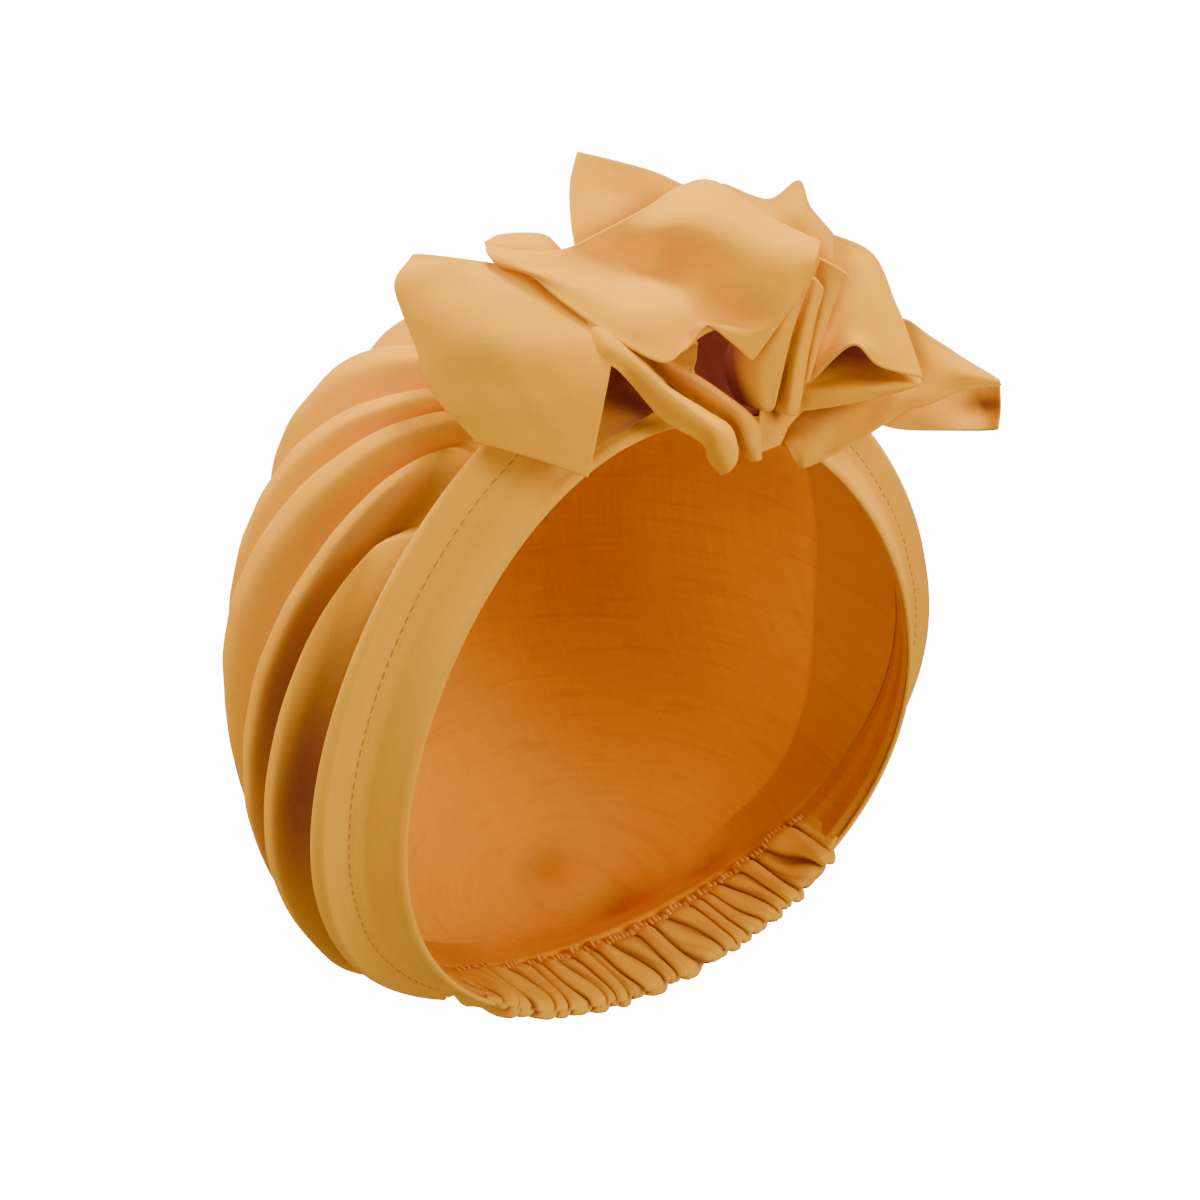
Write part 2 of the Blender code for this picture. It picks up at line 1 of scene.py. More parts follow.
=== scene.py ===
# %% [markdown]
# A turban hat of thin mustard cloth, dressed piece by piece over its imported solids.
# The hat is a cap laid in deep folds, a smooth orange lining, a doubled hem with a line of stitches, an
# elastic casing that gathers the nape, and a bow of stacked loops over the brow.
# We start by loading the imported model. Everything after this is in metres, in the same frame.

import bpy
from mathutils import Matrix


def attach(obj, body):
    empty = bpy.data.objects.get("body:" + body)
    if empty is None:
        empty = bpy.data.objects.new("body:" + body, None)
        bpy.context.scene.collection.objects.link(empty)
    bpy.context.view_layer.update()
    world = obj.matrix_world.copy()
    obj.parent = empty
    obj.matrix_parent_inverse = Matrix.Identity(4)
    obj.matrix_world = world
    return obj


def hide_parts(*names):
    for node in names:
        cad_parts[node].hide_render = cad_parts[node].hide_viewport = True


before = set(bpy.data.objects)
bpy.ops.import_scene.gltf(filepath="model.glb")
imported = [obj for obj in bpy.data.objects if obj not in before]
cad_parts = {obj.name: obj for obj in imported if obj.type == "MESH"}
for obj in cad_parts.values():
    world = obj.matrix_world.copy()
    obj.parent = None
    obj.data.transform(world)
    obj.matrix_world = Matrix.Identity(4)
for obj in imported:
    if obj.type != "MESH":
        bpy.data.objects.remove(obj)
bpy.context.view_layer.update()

# %% The other tools of the lesson
from math import cos, pi, radians, sin

import bpy
import numpy as np
from mathutils import Matrix

# %% [markdown]
# The hat is worn upright, but its rim lies in a plane that rises from the nape to the brow. It is easier to
# think in that plane: across the head, forward, and up the dome. One matrix turns such points into the
# world. The plain shell under all the folds is a dome that runs into a flared hem. One could sculpt it, but
# a function of an angle round the head and a way down the cloth lets every piece sit on the same surface.

# %% Sizes of the head opening, dome and hem
HEAD_HALF_WIDTH = 0.0825
HEAD_HALF_LENGTH = 0.092
BROW_NARROWING = 0.15
RIM_TILT = 48.0
RIM_SIDE_DIP = 0.0017
DOME_HALF_WIDTH = 0.0945
DOME_HALF_LENGTH = 0.108
DOME_RISE = 0.096
DOME_CENTRE_HEIGHT = 0.038
HEM_WIDTH = 0.021
HEM_WALL = 0.0024
HEM_EDGE_LIFT = 0.0060
FLARE_SIDE, FLARE_BROW, FLARE_NAPE = 37.0, 28.0, -3.0


def smooth(t):
    """A soft step from 0 to 1: three t squared less two t cubed, held at its ends."""
    t = np.clip(t, 0.0, 1.0)
    return t * t * (3.0 - 2.0 * t)


def rim_basis():
    """The rim plane's axes as rows: across the head, forward in the plane, up the dome."""
    tilt = radians(RIM_TILT)
    return np.array([[1.0, 0.0, 0.0], [0.0, -cos(tilt), sin(tilt)], [0.0, sin(tilt), cos(tilt)]])


def hem_point(angle, rise):
    """A point of the hem: an oval at the rim, leaning outward by the flare as it rises."""
    side, brow, nape = radians(FLARE_SIDE), radians(FLARE_BROW), radians(FLARE_NAPE)
    ends = np.where(np.cos(angle) > 0.0, brow, nape)
    flare = ends + (side - ends) * np.sin(angle) ** 2
    out = rise * np.sin(flare)
    across = (HEAD_HALF_WIDTH + out) * np.sin(angle) * (1.0 - BROW_NARROWING * np.cos(angle))
    forward = (HEAD_HALF_LENGTH + out) * np.cos(angle)
    up = RIM_SIDE_DIP * np.cos(2.0 * angle) + rise * np.cos(flare)
    return np.stack([across, forward, up], -1)


def dome_point(angle, polar):
    """A point of the plain dome, an ellipsoid, by the angle round it and down from its top."""
    angle, polar = np.broadcast_arrays(angle, polar)
    across = DOME_HALF_WIDTH * np.sin(polar) * np.sin(angle)
    forward = DOME_HALF_LENGTH * np.sin(polar) * np.cos(angle)
    up = DOME_CENTRE_HEIGHT + DOME_RISE * np.cos(polar)
    return np.stack([across, forward, up], -1)


def shell_point(angle, way):
    """The plain shell: way 0 is the top of the dome, 1 the hem's back edge and 2 the rim.

    The dome is pulled onto the hem by the fourth power of the way, so that the two meet softly.
    """
    angle, way = np.broadcast_arrays(np.asarray(angle, float), np.asarray(way, float))
    hem_rise = HEM_WIDTH * cos(radians(FLARE_SIDE))
    last = np.arccos((hem_rise - DOME_CENTRE_HEIGHT) / DOME_RISE)
    share = np.clip(way, 0.0, 1.0)
    seam = hem_point(angle, HEM_WIDTH) - dome_point(angle, last)
    dome = dome_point(angle, share * last) + (share ** 4)[..., None] * seam
    hem = hem_point(angle, HEM_WIDTH * (2.0 - np.clip(way, 1.0, 2.5)))
    return np.where((way <= 1.0)[..., None], dome, hem)


def shell_normal(angle, way):
    """The shell's outward direction: the cross product of small steps along it and round it."""
    step = 0.004
    way = np.maximum(way, 0.03)
    along = shell_point(angle, way + step) - shell_point(angle, way - step)
    around = shell_point(angle + step, way) - shell_point(angle - step, way)
    normal = np.cross(along, around)
    normal /= np.linalg.norm(normal, axis=-1, keepdims=True)
    inward = np.sum(normal * (shell_point(angle, way) - np.array([0.0, 0.0, DOME_CENTRE_HEIGHT])), -1)
    return normal * np.where(inward < 0.0, -1.0, 1.0)[..., None]


def raised(angle, way, height):
    """World points that stand a height over the plain shell."""
    local = shell_point(angle, way) + shell_normal(angle, way) * np.asarray(height)[..., None]
    return local @ rim_basis()


print("rim, mm round:", round(2000 * pi * ((HEAD_HALF_WIDTH ** 2 + HEAD_HALF_LENGTH ** 2) / 2) ** 0.5))

# %% [markdown]
# Most cloths here are a wall between two faces, a millimetre or so apart, whose edge is turned over like a
# real fold. Blender's Solidify and Bevel could do that, but a grid already knows its own border, so we can
# add the rounded edge directly: three rings of points on a half circle round the border. The crown and the
# lining, whose edges are hidden, are single layers.
# The cloth's own lengths go into the UV map, in metres, so that threads keep their size on every piece.

# %% Helpers for grids of points
def border(rows, columns):
    """The places of a grid's border, once round, and of their neighbours one step inside it."""
    top = [(0, j) for j in range(columns)]
    right = [(i, columns - 1) for i in range(1, rows)]
    bottom = [(rows - 1, j) for j in range(columns - 2, -1, -1)]
    left = [(i, 0) for i in range(rows - 2, 0, -1)]
    edge = np.array(top + right + bottom + left)
    inside = np.clip(edge, 1, [rows - 2, columns - 2])
    return edge, inside


def grid_normals(net):
    """Unit normals of a grid of points, from the cross product of its two directions."""
    normal = np.cross(np.gradient(net, axis=0), np.gradient(net, axis=1))
    return normal / np.maximum(np.linalg.norm(normal, axis=-1, keepdims=True), 1e-12)


def lengths(net):
    """Lengths along the cloth in both directions, in metres, counted from the middle of the grid."""
    down = np.linalg.norm(np.diff(net, axis=0), axis=-1).cumsum(0)
    across = np.linalg.norm(np.diff(net, axis=1), axis=-1).cumsum(1)
    down = np.concatenate([np.zeros_like(down[:1]), down], 0)
    across = np.concatenate([np.zeros_like(across[:, :1]), across], 1)
    return np.stack([across - across[:, across.shape[1] // 2, None], down - down[down.shape[0] // 2]], -1)


# %% A mesh with its cloth attributes
def mesh_piece(name, points, faces, uv, material, painted_shade=None):
    """An object at the origin from points, four-cornered faces and a UV place for each point.

    A point attribute carries painted shade to the material: how far each point is darkened as if deep in a
    fold, from 0 to 1.
    """
    mesh = bpy.data.meshes.new(name)
    mesh.from_pydata(points.tolist(), [], faces if isinstance(faces, list) else faces.tolist())
    layer = mesh.uv_layers.new(name="cloth")
    corners = np.empty(len(mesh.loops), dtype=np.int32)
    mesh.loops.foreach_get("vertex_index", corners)
    layer.data.foreach_set("uv", uv[corners].astype(np.float32).ravel())
    # painted shade, one value per point
    depth = mesh.attributes.new("painted_shade", "FLOAT", "POINT")
    if painted_shade is not None:
        depth.data.foreach_set("value", painted_shade.astype(np.float32).ravel())
    mesh.polygons.foreach_set("use_smooth", np.ones(len(mesh.polygons), dtype=bool))
    mesh.materials.append(material)
    piece = bpy.data.objects.new(name, mesh)
    bpy.context.scene.collection.objects.link(piece)
    return piece


def grid_faces(index):
    """The four-cornered faces of a grid of point numbers."""
    a, b, c, d = index[:-1, :-1], index[1:, :-1], index[1:, 1:], index[:-1, 1:]
    return np.stack([a, b, c, d], -1).reshape(-1, 4)


# %% A wall with a rounded edge
def cloth_wall(name, net, wall, material, normals=None, painted_shade=None):
    """A cloth as a closed wall round a grid, with a rounded edge.

    The faces stand half the wall either side of the grid along its normals. Between their borders go
    three rings on a half circle, out from the cloth's edge by half the wall.
    """
    rows, columns = net.shape[:2]
    normal = grid_normals(net) if normals is None else normals
    front, back = net + normal * wall / 2, net - normal * wall / 2
    edge, inside = border(rows, columns)
    at, beside, face_way = net[tuple(edge.T)], net[tuple(inside.T)], normal[tuple(edge.T)]
    out = at - beside
    out -= face_way * np.sum(out * face_way, -1, keepdims=True)
    out /= np.maximum(np.linalg.norm(out, axis=-1, keepdims=True), 1e-12)
    rings = [at + (out * cos(turn) + face_way * sin(turn)) * wall / 2 for turn in (pi / 4, 0.0, -pi / 4)]
    uv = lengths(net)
    edge_uv = uv[tuple(edge.T)]
    count = rows * columns
    index = np.arange(count).reshape(rows, columns)
    rim = [index[tuple(edge.T)]]
    rim += [2 * count + np.arange(len(edge)) + k * len(edge) for k in range(3)]
    rim += [index[tuple(edge.T)] + count]
    loops = np.stack(rim)
    loops = np.concatenate([loops, loops[:, :1]], 1)
    faces = np.concatenate([grid_faces(index), grid_faces(index.T + count), grid_faces(loops.T)])
    points = np.concatenate([front.reshape(-1, 3), back.reshape(-1, 3), *rings])
    uv = np.concatenate([uv.reshape(-1, 2)] * 2 + [edge_uv] * 3)
    # painted shade for both faces and the rounded edge
    painted_shade = np.zeros((rows, columns)) if painted_shade is None else painted_shade
    depth = np.concatenate([painted_shade.ravel()] * 2 + [painted_shade[tuple(edge.T)]] * 3)
    return mesh_piece(name, points, faces, uv, material, depth)


# %% Sizes laid out flat
def cloth_area(net):
    """The area of a grid of points, in square metres."""
    a, b = net[1:, :-1] - net[:-1, :-1], net[:-1, 1:] - net[:-1, :-1]
    return float(np.linalg.norm(np.cross(a, b), axis=-1).sum())


def flat_size(net):
    """The width, length and area of a grid of cloth as if it were laid out flat."""
    uv = lengths(net)
    width, length = float(np.ptp(uv[..., 0], axis=1).max()), float(np.ptp(uv[..., 1], axis=0).max())
    return width, length, min(cloth_area(net), width * length)


# %% [markdown]
# The cloth is a thin plain weave, matt, a warm mustard. Close to, one sees fine threads of uneven
# thickness, which show as short streaks along the weave. A picture texture would be the quick way. Noise
# stretched along each thread direction of the UV map gives the same streaks at any distance, and
# two soft waves give the threads themselves.
# The weave is used by the outer cloth, the hem and the lining, so it is a node group.
# Thicker threads show here and there in the lining: they are the same noise, coarser, cut at a limit.

# %% Helpers for shader nodes
def node(tree, kind, place=(0, 0), **values):
    """A new node with its settings."""
    made = tree.nodes.new(kind)
    made.location = place
    for key, value in values.items():
        setattr(made, key, value)
    return made


def maths(tree, operation, first, second=None):
    """A Math node fed by numbers or sockets, and its output."""
    made = node(tree, "ShaderNodeMath", operation=operation)
    for socket, value in zip(made.inputs, (first, second)):
        if isinstance(value, (int, float)):
            socket.default_value = value
        elif value is not None:
            tree.links.new(value, socket)
    return made.outputs[0]


# %% Streaks of thread
# threads in a metre, and how many times longer than wide their streaks are
FINE_THREADS, WARP_STREAK, WEFT_STREAK = 2600.0, 22.0, 30.0
THICK_THREADS, THICK_STREAK = 750.0, 7.0
THICK_LIMIT, THICK_CONTRAST = 0.62, 7.0


def streaks(tree, source, threads, length, is_warp, place):
    """Noise drawn out along one thread direction: coarse across the threads, slow along them."""
    mapping = node(tree, "ShaderNodeMapping", place)
    slow = threads / length
    mapping.inputs["Scale"].default_value = (slow, threads, 1.0) if is_warp else (threads, slow, 1.0)
    tree.links.new(source, mapping.inputs["Vector"])
    noise = node(tree, "ShaderNodeTexNoise", place, noise_dimensions="2D")
    noise.inputs["Scale"].default_value = 1.0
    noise.inputs["Detail"].default_value = 2.0
    tree.links.new(mapping.outputs[0], noise.inputs["Vector"])
    return noise.outputs["Fac"]


# %% The weave group
# inputs of the group and their first values
WEAVE_INPUTS = (("Threads", 3400.0), ("Slub", 0.5), ("Thread Depth", 0.08), ("Thick Threads", 0.0))


def weave_group(name="weave"):
    """Plain weave: thread waves and slubs across both directions, as a shade and a height."""
    tree = bpy.data.node_groups.new(name, "ShaderNodeTree")
    face = tree.interface
    face.new_socket("UV", in_out="INPUT", socket_type="NodeSocketVector")
    for label, value in WEAVE_INPUTS:
        face.new_socket(label, in_out="INPUT", socket_type="NodeSocketFloat").default_value = value
    face.new_socket("Shade", in_out="OUTPUT", socket_type="NodeSocketFloat")
    face.new_socket("Height", in_out="OUTPUT", socket_type="NodeSocketFloat")
    start, end = node(tree, "NodeGroupInput", (-900, 0)), node(tree, "NodeGroupOutput", (900, 0))
    parts = node(tree, "ShaderNodeSeparateXYZ", (-700, -200))
    tree.links.new(start.outputs["UV"], parts.inputs[0])
    waves = []
    for axis in (0, 1):
        turn = maths(tree, "MULTIPLY", parts.outputs[axis], start.outputs["Threads"])
        waves.append(maths(tree, "SINE", maths(tree, "MULTIPLY", turn, pi)))
    threads = maths(tree, "MULTIPLY", waves[0], waves[1])
    warp = streaks(tree, start.outputs["UV"], FINE_THREADS, WARP_STREAK, True, (-400, 300))
    weft = streaks(tree, start.outputs["UV"], FINE_THREADS, WEFT_STREAK, False, (-400, -300))
    slub = maths(tree, "SUBTRACT", maths(tree, "ADD", warp, weft), 1.0)
    slub = maths(tree, "MULTIPLY", slub, start.outputs["Slub"])
    depth = maths(tree, "MULTIPLY", threads, start.outputs["Thread Depth"])
    height = maths(tree, "ADD", maths(tree, "MULTIPLY", depth, 0.5), slub)
    thick = streaks(tree, start.outputs["UV"], THICK_THREADS, THICK_STREAK, True, (-400, 600))
    thick = maths(tree, "MULTIPLY", maths(tree, "SUBTRACT", thick, THICK_LIMIT), THICK_CONTRAST)
    thick = maths(tree, "MINIMUM", maths(tree, "MAXIMUM", thick, 0.0), 1.0)
    height = maths(tree, "SUBTRACT", height, maths(tree, "MULTIPLY", thick, start.outputs["Thick Threads"]))
    shade = maths(tree, "ADD", maths(tree, "MULTIPLY", height, 0.5), 0.5)
    tree.links.new(shade, end.inputs["Shade"])
    tree.links.new(height, end.inputs["Height"])
    return tree


WEAVE = weave_group()
print("weave group sockets:", [item.name for item in WEAVE.interface.items_tree])

# %% [markdown]
# One function makes the three cloths from their own colours. The Principled shader stays in the material.
# The shade of the weave mixes two close tones, and its height is a small bump. A soft noise on the Object
# coordinates varies the tone over a few centimetres, as worn and handled cloth does.
# Deep in the folds the real cloth looks a dark red brown, because its layers keep out the light. Our folds
# are shallower than those, so shade is painted into the colour: an attribute leans it to that brown where the
# layers would lie.

# %% The cloth materials
# painted shade: the red brown the colour leans to deep in folds, where light would not reach
PAINTED_SHADE_BROWN = (0.20, 0.036, 0.016)
CLOTH_ROUGHNESS = 0.85
PATCH_SCALE, PATCH_SPREAD = 26.0, 0.5
THREAD_HEIGHT = 0.00012


def cloth_material(name, light, deep, slub, bump, sheen, thick=0.0, fineness=1.0):
    """A woven cloth between a light and a deep tone, with shade painted in as a brown where its folds close.
    """
    material = bpy.data.materials.new(name)
    material.use_nodes = True
    tree = material.node_tree
    shader = tree.nodes["Principled BSDF"]
    shader.inputs["Roughness"].default_value = CLOTH_ROUGHNESS
    shader.inputs["Specular IOR Level"].default_value = 0.12
    shader.inputs["Sheen Weight"].default_value = sheen
    shader.inputs["Sheen Roughness"].default_value = 0.5
    shader.inputs["Sheen Tint"].default_value = (*light, 1.0)
    place = node(tree, "ShaderNodeTexCoord", (-1200, 0))
    weave = node(tree, "ShaderNodeGroup", (-900, 100), node_tree=WEAVE)
    weave.inputs["Slub"].default_value = slub
    weave.inputs["Thick Threads"].default_value = thick
    scale = node(tree, "ShaderNodeVectorMath", (-1050, 100), operation="SCALE")
    scale.inputs["Scale"].default_value = fineness
    tree.links.new(place.outputs["UV"], scale.inputs[0])
    tree.links.new(scale.outputs[0], weave.inputs["UV"])
    patches = node(tree, "ShaderNodeTexNoise", (-900, -250))
    patches.inputs["Scale"].default_value = PATCH_SCALE
    patches.inputs["Detail"].default_value = 3.0
    tree.links.new(place.outputs["Object"], patches.inputs["Vector"])
    spread = maths(tree, "MULTIPLY", maths(tree, "SUBTRACT", patches.outputs["Fac"], 0.5), PATCH_SPREAD)
    tone = maths(tree, "ADD", weave.outputs["Shade"], spread)
    colour = node(tree, "ShaderNodeMix", (-300, 100), data_type="RGBA")
    colour.inputs[6].default_value = (*deep, 1.0)
    colour.inputs[7].default_value = (*light, 1.0)
    tree.links.new(tone, colour.inputs[0])
    # painted shade: the per-point attribute mixes the shade brown into the colour
    painted_shade = node(tree, "ShaderNodeAttribute", (-300, 400), attribute_name="painted_shade")
    painted_shade_mix = node(tree, "ShaderNodeMix", (-100, 200), data_type="RGBA")
    painted_shade_mix.inputs[7].default_value = (*PAINTED_SHADE_BROWN, 1.0)
    tree.links.new(painted_shade.outputs["Fac"], painted_shade_mix.inputs[0])
    tree.links.new(colour.outputs[2], painted_shade_mix.inputs[6])
    tree.links.new(painted_shade_mix.outputs[2], shader.inputs["Base Color"])
    dents = node(tree, "ShaderNodeBump", (-300, -300))
    dents.inputs["Strength"].default_value = bump
    dents.inputs["Distance"].default_value = THREAD_HEIGHT
    tree.links.new(weave.outputs["Height"], dents.inputs["Height"])
    tree.links.new(dents.outputs["Normal"], shader.inputs["Normal"])
    material.diffuse_color = (*light, 1.0)
    return material


# name, light tone, deep tone
MUSTARD = cloth_material("mustard_cloth", (0.88, 0.370, 0.010), (0.76, 0.298, 0.007),
                         slub=0.5, bump=0.5, sheen=0.05)
HEM_MUSTARD = cloth_material("hem_cloth", (0.87, 0.378, 0.016), (0.76, 0.308, 0.011),
                             slub=0.5, bump=0.5, sheen=0.05)
LINING_ORANGE = cloth_material("lining_cloth", (0.92, 0.375, 0.005), (0.74, 0.245, 0.002),
                               slub=0.6, bump=0.4, sheen=0.0, thick=0.5, fineness=0.42)


def plain_material(name, colour, rough):
    """A matt finish of one colour, for thread and floor."""
    material = bpy.data.materials.new(name)
    material.use_nodes = True
    shader = material.node_tree.nodes["Principled BSDF"]
    shader.inputs["Base Color"].default_value = (*colour, 1.0)
    shader.inputs["Roughness"].default_value = rough
    return material


THREAD = plain_material("thread", (0.50, 0.18, 0.015), 0.7)
EDGE_THREAD = plain_material("edge_thread", (0.86, 0.40, 0.04), 0.8)

# %% [markdown]
# The crown is one cloth. Its folds leave the bow in a narrow fan, spread over the head and draw together
# again at the nape. One could sculpt them, but each fold is a smooth line from the brow to the nape, so we
# lay the cloth out flat as a disc and give every fold its places and its height. The folds are laid toward
# the hem on both sides: each has a full, round front, which faces the hem, and a steep back that drops into
# a valley, which is darkened further by painted shade.

# %% The folds of the crown
CROWN_WALL = 0.0016
CROWN_TUCK = 0.0090
LAYER_GAP = 0.0008
LINING_LEVEL = -HEM_WALL / 2 - LAYER_GAP
NAPE_HALF_ANGLE = 39.0
BOW_ANGLE = 28.0
# place at the bow, at the side, at the nape, height, strength of the painted shade in the valley on its hem
# side
FOLDS = (
    (-0.88, -0.90, -0.80, 0.0105, 1.0),
    (-0.74, -0.80, -0.58, 0.0085, 0.9),
    (-0.60, -0.62, -0.42, 0.0076, 0.3),
    (-0.52, -0.46, -0.28, 0.0060, 0.1),
    (-0.44, -0.22, -0.12, 0.0070, 0.1),
    (-0.22, -0.04, 0.00, 0.0045, 0.1),
    (0.02, 0.12, 0.10, 0.0050, 0.1),
    (0.24, 0.27, 0.20, 0.0045, 0.2),
    (0.44, 0.43, 0.33, 0.0055, 0.3),
    (0.60, 0.60, 0.47, 0.0060, 0.4),
    (0.77, 0.77, 0.61, 0.0065, 0.6),
    (0.94, 0.89, 0.77, 0.0075, 0.8),
)


# %% Where a fold lies
def disc_point(along, across):
    """Where a fold lies on the flattened crown: along runs from the bow (0) to the nape (1)."""
    brow, nape = radians(BOW_ANGLE), radians(NAPE_HALF_ANGLE)
    middle = cos(brow) - (cos(brow) + cos(nape)) * along
    half_arc = brow * (1.0 - along) + nape * along
    sideways = np.sqrt(1.0 - middle ** 2) * np.sin(half_arc * across) / np.sin(half_arc)
    forward = middle + (1.0 - along) ** 2 * (np.cos(brow * across) - cos(brow))
    forward = forward - along ** 2 * (np.cos(nape * across) - cos(nape))
    return sideways, forward


def fold_place(row, along):
    """A fold's place across the crown, on a parabola through its three given places."""
    bow, side, nape = row[:3]
    at_bow, at_nape = bow * (1 - along) * (1 - 2 * along), nape * along * (2 * along - 1)
    return at_bow + side * 4 * along * (1 - along) + at_nape


# %% How high a fold stands
BACK_SHARE = 0.12
VALLEY_SHARE = 0.26
FRONT_SHARE = 0.50
FRONT_FULLNESS = 0.8
# where the painted valley shade starts to fade up the front, and over how much
PAINTED_SHADE_START, PAINTED_SHADE_FADE = 0.55, 0.42


def fold_height(share, hem_crest, top_crest):
    """Height between two crests, by the share of the way up from the crest on the hem's side.

    It drops from that crest by a soft step, stays low in the valley, and rises by a longer one to the next
    crest. The second result is the painted shade of the valley, fading out up the front.
    """
    back = 1.0 - smooth(share / BACK_SHARE)
    front = smooth((share - VALLEY_SHARE) / FRONT_SHARE) ** FRONT_FULLNESS
    valley_painted_shade = (1.0 - smooth((share - PAINTED_SHADE_START) / PAINTED_SHADE_FADE)) * smooth((share + 0.01) / 0.05)
    return hem_crest * back + top_crest * front, valley_painted_shade


def cloth_waves(angle, way):
    """Soft uneven waves of the laid cloth, a few centimetres long, fading out toward the top."""
    waves = np.sin(7.0 * angle + 9.0 * way) * np.sin(4.0 * angle - 13.0 * way + 1.0)
    fine = np.sin(19.0 * angle - 11.0 * way) * np.sin(11.0 * angle + 23.0 * way)
    return (0.00045 * waves + 0.00022 * fine) * smooth((way - 0.1) / 0.5)


# %% The crown's grid
STEPS_IN_FOLD = 26
CREST_CROWDING = 1.5
FOLD_END, FOLD_FADE = 0.985, 0.055
NEAR_BOW, NEAR_NAPE = 0.15, 0.2


def crown_grid(rows):
    """The crown's angle, way, height and painted valley shade, with a line of the grid along every crest.

    The places between two crests are crowded toward the hem's side, where the cloth is steep. The folds
    start low under the bow and run out at the nape and under the hem.
    """
    along = np.linspace(0.0, 1.0, rows)
    hem_line = np.ones_like(along)
    lines = np.stack([-hem_line] + [fold_place(row, along) for row in FOLDS] + [hem_line], 1)
    crests = np.array([0.0] + [row[3] for row in FOLDS] + [0.0])
    painted_valley_strength = np.array([0.0] + [row[4] for row in FOLDS] + [0.0])
    place = np.linspace(0.0, len(crests) - 1.0, (len(crests) - 1) * STEPS_IN_FOLD + 1)
    first = np.minimum(place.astype(int), len(crests) - 2)
    share = place - first
    left = first < len(crests) // 2
    share = np.where(left, share ** CREST_CROWDING, 1.0 - (1.0 - share) ** CREST_CROWDING)
    across = lines[:, first] * (1.0 - share) + lines[:, first + 1] * share
    hem_side = np.where(left, crests[first], crests[first + 1])
    top_side = np.where(left, crests[first + 1], crests[first])
    height, valley_painted_shade = fold_height(np.where(left, share, 1.0 - share), hem_side, top_side)
    valley_painted_shade = valley_painted_shade * np.where(left, painted_valley_strength[first + 1], painted_valley_strength[first])
    along = np.broadcast_to(along[:, None], across.shape)
    sideways, forward = disc_point(along, across)
    angle, way = np.arctan2(sideways, forward), np.hypot(sideways, forward)
    spread = (0.4 + 0.6 * smooth(along / NEAR_BOW)) * smooth((1.0 - along) / NEAR_NAPE)
    strength = smooth((FOLD_END - way) / FOLD_FADE) * spread
    way = way + CROWN_TUCK / HEM_WIDTH * smooth((way - 0.95) / 0.05)
    uneven = 0.80 + 0.20 * np.cos(11.8 * (along - 0.48) + 0.9 * first)
    return angle, way, height * strength, np.clip(valley_painted_shade * spread * uneven, 0.0, 1.0)


# %% Make the crown
CROWN_ROWS = 230
# how strong the painted valley shade is on the crown
CROWN_PAINTED_SHADE = 0.9


def crown():
    """The crown as one layer of cloth."""
    angle, way, height, painted_shade = crown_grid(CROWN_ROWS)
    level = LINING_LEVEL + LAYER_GAP + CROWN_WALL / 2
    still = smooth((0.96 - way) / 0.1)
    net = raised(angle, way, height + level + still * (0.0006 + cloth_waves(angle, way)))
    faces = grid_faces(np.arange(angle.size).reshape(angle.shape))
    uv = lengths(net).reshape(-1, 2)
    piece = mesh_piece("crown_cloth", net.reshape(-1, 3), faces, uv, MUSTARD, CROWN_PAINTED_SHADE * painted_shade)
    flat_size(net)
    print("crown, square metres of cloth:", round(cloth_area(net), 4), "points:", angle.size)
    return piece


CROWN = crown()

# %% [markdown]
# The lining is a smooth cap inside the crown. It only shows from below and in front, where it glows orange.
# A second layer, the facing, strengthens it round the sides, and painted shade darkens it. A few shallow
# dents keep it from looking like a bowl, with painted shade in them. Its top is closed by one point. A sphere
# would be the quick way, but it wouldn't follow the rim.

# %% The lining's shape
LINING_EASE = 0.0016
# the facing's edge, as a way down the dome, at the sides and toward the nape, and its softness
FACING_SIDE, FACING_NAPE, FACING_SEAM = 0.78, 0.88, 0.012
# in degrees from the brow: where that edge starts to drop, has dropped, and ends, and over how much it ends
FACING_DROP, FACING_DROPPED, FACING_END, FACING_FADE = 96.0, 140.0, 158.0, 14.0
FACING_STEP = 0.0003
# painted shade on the facing
FACING_PAINTED_SHADE = 0.32
# how much the lining rises under the hem in metres, the way where that starts, and over how much it rises
LINING_RISES = ((0.0013, 1.27, 0.25), (0.0015, 1.84, 0.12))
# angle round the head in degrees, way down the dome, width in metres, depth in metres, painted shade
LINING_DENTS = (
    (-179.0, 0.68, 0.009, 0.0026, 0.26),
    (176.0, 0.87, 0.010, 0.0030, 0.34),
    (158.0, 0.93, 0.008, 0.0020, 0.22),
    (84.0, 0.66, 0.015, 0.0012, 0.16),
    (60.0, 0.55, 0.030, 0.0016, 0.0),
)


def lining_level(angle, way):
    """The lining over the shell, and its painted shade: a facing toward the rim and a few soft dents.

    Soft steps lift it under the crown and the hem, two crossing waves unsettle it, and each dent is a bell,
    in height and in painted shade.
    """
    level = LINING_LEVEL - LINING_EASE * smooth((1.04 - way) / 0.1) - 0.0006
    for rise, start, reach in LINING_RISES:
        level = level + rise * smooth((way - start) / reach)
    level = level + 0.0008 * np.sin(3.0 * angle + 5.0 * way) * np.sin(4.0 * way) * smooth((1.0 - way) / 0.4)
    from_brow = pi - np.abs(np.asarray(angle) % (2.0 * pi) - pi)
    drop = smooth((from_brow - radians(FACING_DROP)) / radians(FACING_DROPPED - FACING_DROP))
    facing_edge = FACING_SIDE + (FACING_NAPE - FACING_SIDE) * drop
    facing = smooth((way - facing_edge) / FACING_SEAM)
    facing = facing * smooth((radians(FACING_END) - from_brow) / radians(FACING_FADE))
    level, shade = level - FACING_STEP * facing, FACING_PAINTED_SHADE * facing
    at = shell_point(angle, way)
    for turn, down, width, depth, dark in LINING_DENTS:
        apart = np.linalg.norm(at - shell_point(radians(turn), down), axis=-1)
        level = level + depth * np.exp(-(apart / width) ** 2)
        shade = shade + dark * np.exp(-(apart / width) ** 2)
    return level, np.clip(shade, 0.0, 1.0)


# %% Make the lining
# the way down where the lining ends, behind the hem and behind the casing
LINING_END, LINING_NAPE_END = 1.97, 1.16


